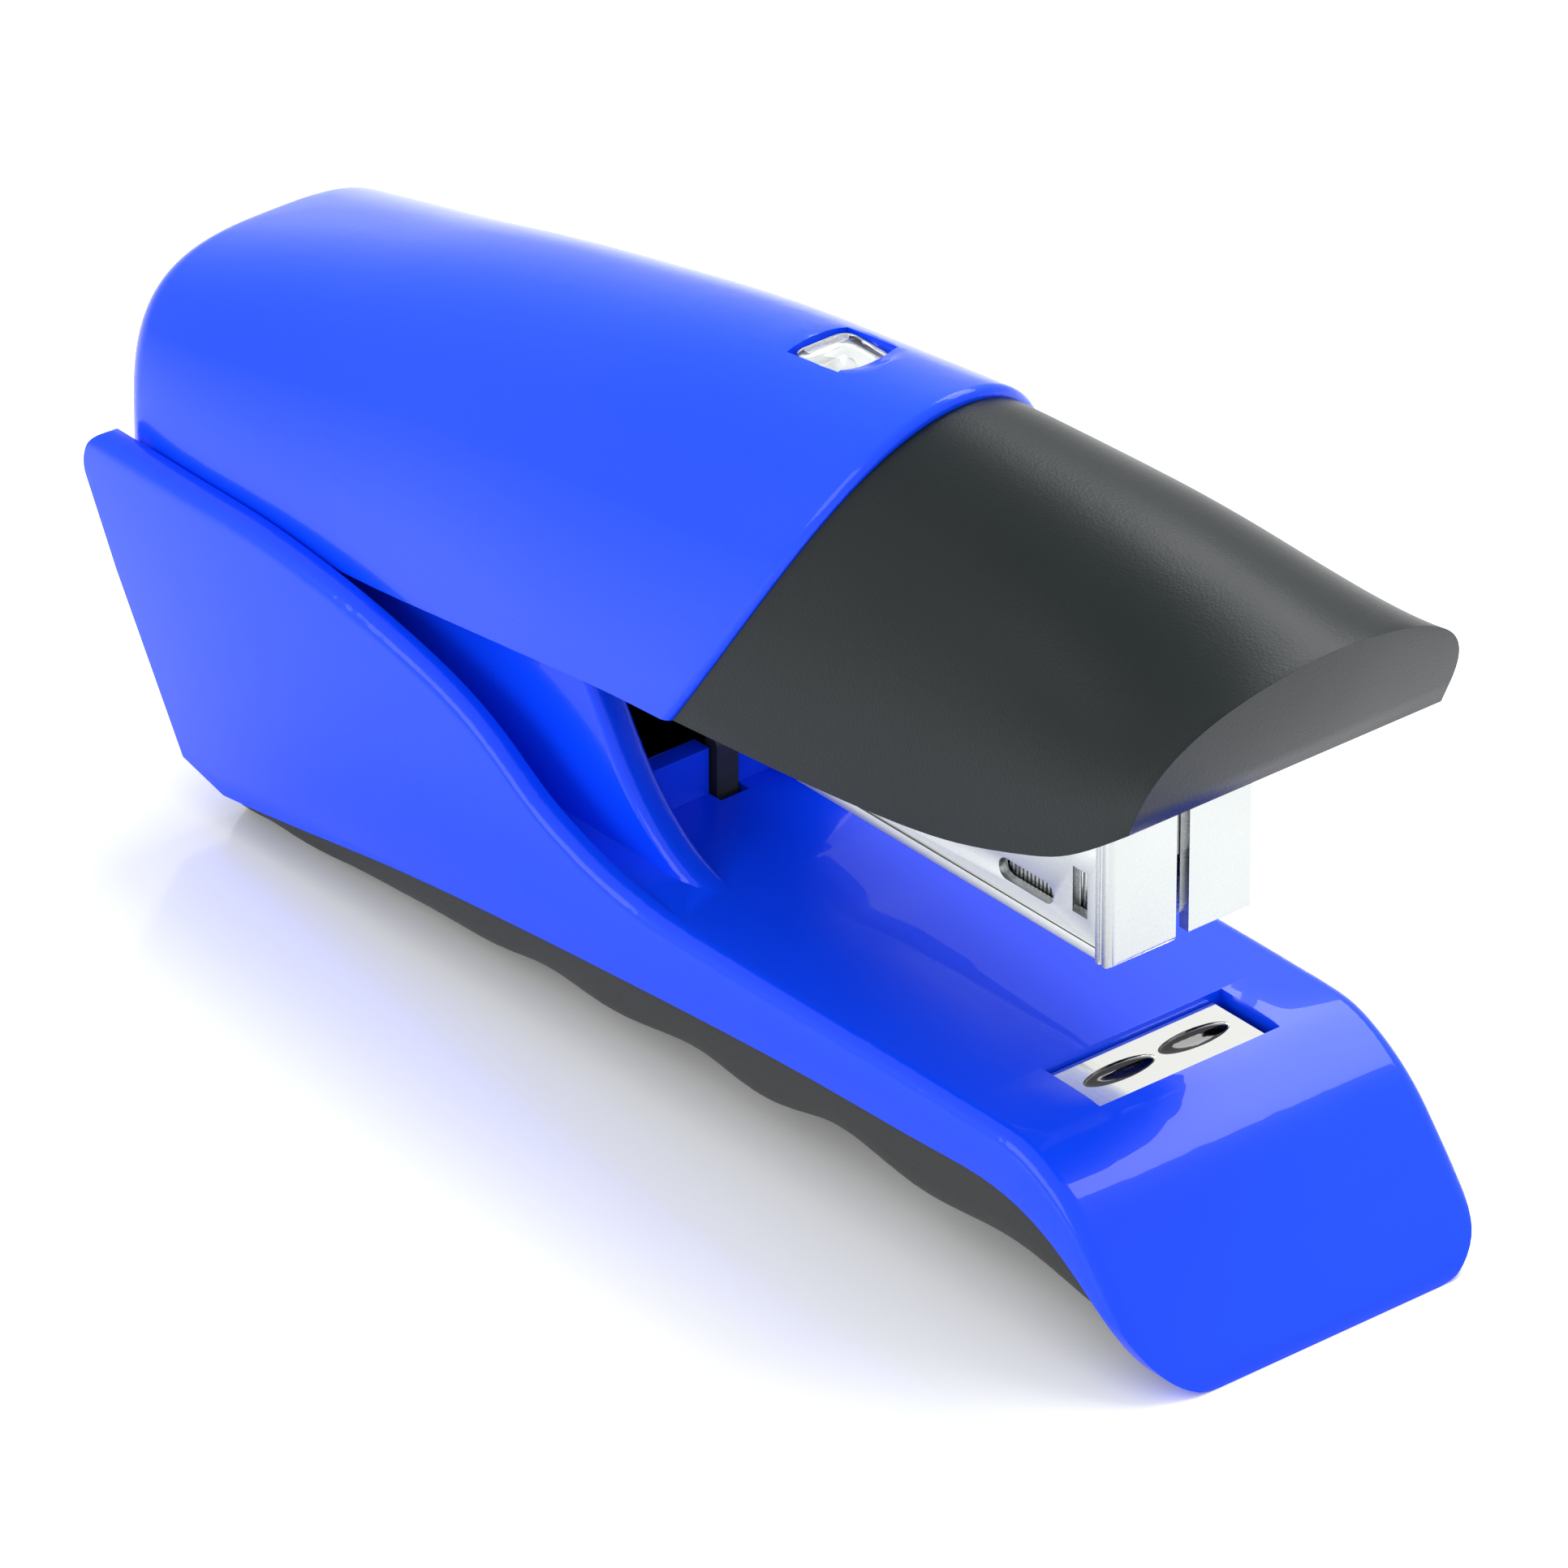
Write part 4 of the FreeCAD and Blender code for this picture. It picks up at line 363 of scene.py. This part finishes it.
def merged_copy(node_name, piece_name, join_flat_faces=False):
    piece = bpy.data.objects.new(piece_name, nodes[node_name].data.copy())
    bpy.context.scene.collection.objects.link(piece)
    choose(piece)
    if piece.data.has_custom_normals:
        bpy.ops.mesh.customdata_custom_splitnormals_clear()
    bpy.ops.object.mode_set(mode="EDIT")
    bpy.ops.mesh.select_all(action="SELECT")
    bpy.ops.mesh.remove_doubles(threshold=MERGE_DISTANCE)
    if join_flat_faces:
        bpy.ops.mesh.dissolve_limited(angle_limit=math.radians(FLAT_DEGREES))
    bpy.ops.object.mode_set(mode="OBJECT")
    return piece


def softened_copy(node_name, piece_name, body, slot_name, width, sharp_degrees=38.0):
    piece = merged_copy(node_name, piece_name, join_flat_faces=True)
    bevel = piece.modifiers.new("soft_edges", "BEVEL")
    bevel.limit_method = "ANGLE"
    bevel.angle_limit = math.radians(sharp_degrees)
    bevel.width = width
    bevel.segments = SOFT_SEGMENTS
    bevel.use_clamp_overlap = True
    bpy.ops.object.modifier_apply(modifier=bevel.name)
    bpy.ops.object.shade_smooth_by_angle(angle=math.radians(sharp_degrees))
    finish_piece(piece, body, slot_name)
    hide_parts(node_name)
    print(piece_name, "has", len(piece.data.polygons), "faces")
    return piece


# %% Soften the nose cover
softened_copy("nose_cover", "nose_hood", "head", "grey_plastic", 1.1 * MM)

# %% [markdown]
# The blue mouldings and the plated sheet metal get the same treatment with smaller radii: about
# half a millimetre on moulded rims, and a quarter where sheet metal is sheared or folded.

# %% Soften the blue mouldings and the magazine
softened_copy("top_shell", "upper_cover", "head", "blue_plastic", 0.45 * MM)
softened_copy("base_shell", "lower_body", "base", "blue_plastic", 0.35 * MM)
softened_copy("front_casing", "magazine_front", "magazine", "nickel", 0.22 * MM)
softened_copy("magazine_channel", "magazine_body", "magazine", "nickel", 0.15 * MM)

# %% [markdown]
# A strip of staples is eighty bent wires held by a film of glue.  The CAD part is one channel, so
# it is replaced: one staple is modelled from a flat bar, whose two ends are extruded down into
# legs and whose edges are rounded, and then it is copied along the strip.  Each staple is a
# simple form of a few dozen faces, because it is repeated so often.
#
# The helpers come first.  One selects faces by a test on their place and direction, because an
# operator acts on all that is selected.  One adds a block between two corners, and one rounds the
# sharp edges of a finished piece.

# %% Helpers for modelling by hand: select by place, add a block, round its edges
def select_faces(piece, test):
    bpy.ops.object.mode_set(mode="OBJECT")
    for element in (*piece.data.vertices, *piece.data.edges):
        element.select = False
    for polygon in piece.data.polygons:
        polygon.select = test(polygon.center, polygon.normal)
    bpy.ops.object.mode_set(mode="EDIT")
    bpy.ops.mesh.select_mode(type="FACE")


def add_block(name, low_corner, high_corner):
    bpy.ops.object.select_all(action="DESELECT")
    middle = [(a + b) / 2 for a, b in zip(low_corner, high_corner)]
    bpy.ops.mesh.primitive_cube_add(size=1.0, location=middle)
    block = bpy.context.active_object
    block.name = name
    block.scale = [b - a for a, b in zip(low_corner, high_corner)]
    bpy.ops.object.transform_apply(location=True, rotation=True, scale=True)
    return block


SMOOTH_DEGREES = 40.0


def round_edges(piece, width, segments=2, sharp_degrees=30.0):
    bevel = piece.modifiers.new("rounded", "BEVEL")
    bevel.limit_method = "ANGLE"
    bevel.angle_limit = math.radians(sharp_degrees)
    bevel.width = width
    bevel.segments = segments
    choose(piece)
    bpy.ops.object.modifier_apply(modifier=bevel.name)
    bpy.ops.object.shade_smooth_by_angle(angle=math.radians(SMOOTH_DEGREES))


# %% One staple, then the strip
WIRE = 0.5 * MM
WIRE_GAP = 0.03 * MM


def model_staple(low_corner, high_corner):
    front_x = high_corner[0]
    half_width = high_corner[1]
    crown_low = (front_x - WIRE + WIRE_GAP, -half_width, high_corner[2] - WIRE)
    staple = add_block("staple", crown_low, (front_x, half_width, high_corner[2]))
    leg_inside = half_width - WIRE
    bpy.ops.object.mode_set(mode="EDIT")
    for side in (-1.0, 1.0):
        bpy.ops.mesh.select_all(action="SELECT")
        bpy.ops.mesh.bisect(plane_co=(front_x, side * leg_inside, 0.0), plane_no=(0.0, 1.0, 0.0))
    select_faces(staple, lambda centre, normal: normal.z < -0.9 and abs(centre.y) > leg_inside)
    bpy.ops.mesh.extrude_region_move(
        TRANSFORM_OT_translate={"value": (0.0, 0.0, low_corner[2] - crown_low[2])})
    bpy.ops.object.mode_set(mode="OBJECT")
    round_edges(staple, 0.09 * MM, segments=1)
    return staple


strip_low, strip_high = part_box("staple_strip")
first_staple = model_staple(strip_low, strip_high)
staple_count = int(round((strip_high[0] - strip_low[0]) / WIRE))
staples = [first_staple]
for number in range(1, staple_count):
    copy = bpy.data.objects.new("staple_copy", first_staple.data.copy())
    bpy.context.scene.collection.objects.link(copy)
    copy.data.transform(Matrix.Translation((-number * WIRE, 0.0, 0.0)))
    staples.append(copy)
choose(first_staple)
for staple in staples:
    staple.select_set(True)
bpy.ops.object.join()
first_staple.name = "staple_wires"
finish_piece(first_staple, "magazine", "staple_metal")
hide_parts("staple_strip")
print("staples in the strip:", staple_count, "faces:", len(first_staple.data.polygons))

# %% [markdown]
# Two springs shorten when their joints move, but here each stays rigid.  The CAD spring is copied,
# the copy's loose triangles are merged, and the copy is shaded smooth and fixed to its body in
# place of the CAD part.


# %% The two springs, as merged copies
def squashed_spring(node_name, piece_name, body):
    spring = merged_copy(node_name, piece_name)
    bpy.ops.object.shade_smooth_by_angle(angle=math.radians(SMOOTH_DEGREES))
    finish_piece(spring, body, "spring_steel")
    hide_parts(node_name)
    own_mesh(spring)


squashed_spring("pusher_spring", "feed_spring", "magazine")
squashed_spring("button_spring", "window_spring", "head")

# %% [markdown]
# The button on the crown is two pieces in one: a clear window, and under it a white cup that
# throws the lamp's light upwards and carries the flange that keeps the button in.  The CAD part is
# one solid, which would look like a block of ice, so both are modelled here.  The cup starts as
# the flange; its top face is inset and raised into a wall, then inset again and pushed down into a
# well.  The window is a block whose corners are rounded and whose top is dished.

# %% The light cup, with the flange round its foot
button_low, button_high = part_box("lens_button")
FLANGE_THICKNESS = 0.7 * MM
FLANGE_REACH = 0.9 * MM
WINDOW_THICKNESS = 1.3 * MM


def model_light_cup(low_corner, high_corner):
    flange_top = low_corner[2] + FLANGE_THICKNESS
    wall_height = high_corner[2] - WINDOW_THICKNESS - 0.05 * MM - flange_top
    cup = add_block("light_cup", low_corner, (high_corner[0], high_corner[1], flange_top))
    select_faces(cup, lambda centre, normal: normal.z > 0.9)
    bpy.ops.mesh.inset(thickness=FLANGE_REACH + 0.15 * MM, depth=0.0)
    bpy.ops.mesh.extrude_region_move(TRANSFORM_OT_translate={"value": (0.0, 0.0, wall_height)})
    bpy.ops.mesh.inset(thickness=0.7 * MM, depth=0.0)
    bpy.ops.mesh.extrude_region_move(
        TRANSFORM_OT_translate={"value": (0.0, 0.0, -0.6 * wall_height)})
    bpy.ops.transform.resize(value=(0.7, 0.7, 1.0))
    bpy.ops.object.mode_set(mode="OBJECT")
    round_edges(cup, 0.08 * MM, segments=2)
    return cup


light_cup = model_light_cup(button_low, button_high)
finish_piece(light_cup, "button", "lamp")
print("light cup faces:", len(light_cup.data.polygons))


# %% The clear window with its dished top
def model_window(low_corner, high_corner):
    reach = FLANGE_REACH
    window_low = (low_corner[0] + reach, low_corner[1] + reach, high_corner[2] - WINDOW_THICKNESS)
    window_high = (high_corner[0] - reach, high_corner[1] - reach, high_corner[2])
    window = add_block("window_lens", window_low, window_high)
    bpy.ops.object.mode_set(mode="EDIT")
    bpy.ops.mesh.select_all(action="DESELECT")
    bpy.ops.object.mode_set(mode="OBJECT")
    for edge in window.data.edges:
        first, second = (window.data.vertices[index].co for index in edge.vertices)
        edge.select = abs(first.z - second.z) > 0.5 * WINDOW_THICKNESS
    bpy.ops.object.mode_set(mode="EDIT")
    bpy.ops.mesh.select_mode(type="EDGE")
    bpy.ops.mesh.bevel(offset=1.4 * MM, segments=6)
    select_faces(window, lambda centre, normal: normal.z > 0.9)
    bpy.ops.mesh.inset(thickness=0.45 * MM, depth=0.0)
    bpy.ops.mesh.inset(thickness=0.30 * MM, depth=-0.12 * MM)
    bpy.ops.object.mode_set(mode="OBJECT")
    round_edges(window, 0.12 * MM, segments=3)
    return window


window_lens = model_window(button_low, button_high)
finish_piece(window_lens, "button", "clear_plastic")
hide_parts("lens_button")
print("window faces:", len(window_lens.data.polygons))

# %% [markdown]
# The studio is a sheet of glossy white acrylic in a white room.  The floor shows a weak mirror
# image of the stapler and a soft shadow.  One wide lamp overhead draws the bright band along the
# crown, and a second, lower lamp in front of the near side lifts the blue flank.


# %% The floor
def glossy_floor():
    bpy.ops.mesh.primitive_plane_add(size=8.0, location=(0.0, 0.0, 0.0))
    floor = bpy.context.active_object
    floor.name = "studio_floor"
    material, tree, shader = start_material("white_acrylic")
    drift = place(tree, gloss_drift, Scale=12.0, Low=0.10, High=0.14)
    mix_tints(tree, shader, drift.outputs["Mask"], (0.95, 0.96, 0.955), (0.96, 0.97, 0.965))
    tree.links.new(drift.outputs["Roughness"], shader.inputs["Roughness"])
    floor.data.materials.append(material)
    return floor


glossy_floor()


# %% The lamps and the room
def add_softbox(name, centre, aim, width, height, power):
    bpy.ops.object.light_add(type="AREA", location=centre)
    lamp = bpy.context.active_object
    lamp.name = name
    lamp.data.shape = "RECTANGLE"
    lamp.data.size = width
    lamp.data.size_y = height
    lamp.data.energy = power
    direction = Vector(aim) - Vector(centre)
    lamp.rotation_euler = direction.to_track_quat("-Z", "Y").to_euler()
    return lamp


STAPLER_MIDDLE = (0.0, 0.0, 0.04)
add_softbox("overhead_softbox", centre=(-0.10, 0.50, 0.80), aim=STAPLER_MIDDLE,
            width=1.0, height=0.45, power=10.0)
add_softbox("flank_softbox", centre=(-0.30, -1.05, 0.45), aim=STAPLER_MIDDLE,
            width=0.8, height=0.5, power=4.5)

ROOM_BRIGHTNESS = 1.06
world = bpy.data.worlds.new("white_room")
bpy.context.scene.world = world
world.use_nodes = True
background = world.node_tree.nodes["Background"]
background.inputs["Color"].default_value = (1.0, 1.0, 1.0, 1.0)
background.inputs["Strength"].default_value = ROOM_BRIGHTNESS
bpy.context.scene.view_settings.view_transform = "Standard"

# %% [markdown]
# The camera stands in front of the nose on the near side, about thirty degrees above the table,
# and far away, so lines that are parallel on the stapler stay nearly parallel in the picture.

# %% The camera
CAMERA_PLACE = Vector((0.92296, -0.77350, 0.72231))
CAMERA_RIGHT = Vector((0.64279, 0.76604, 0.0))
CAMERA_UP = Vector((-0.38534, 0.32333, 0.86427))
CAMERA_BACK = Vector((0.66208, -0.55555, 0.50302))
FOCAL_LENGTH = 372.67
SENSOR_WIDTH = 36.0

bpy.ops.object.camera_add(location=CAMERA_PLACE)
camera = bpy.context.active_object
turn = Matrix((CAMERA_RIGHT, CAMERA_UP, CAMERA_BACK)).transposed()
camera.matrix_world = Matrix.Translation(CAMERA_PLACE) @ turn.to_4x4()
camera.data.sensor_width = SENSOR_WIDTH
camera.data.lens = FOCAL_LENGTH
camera.data.clip_end = 20.0
bpy.context.scene.camera = camera
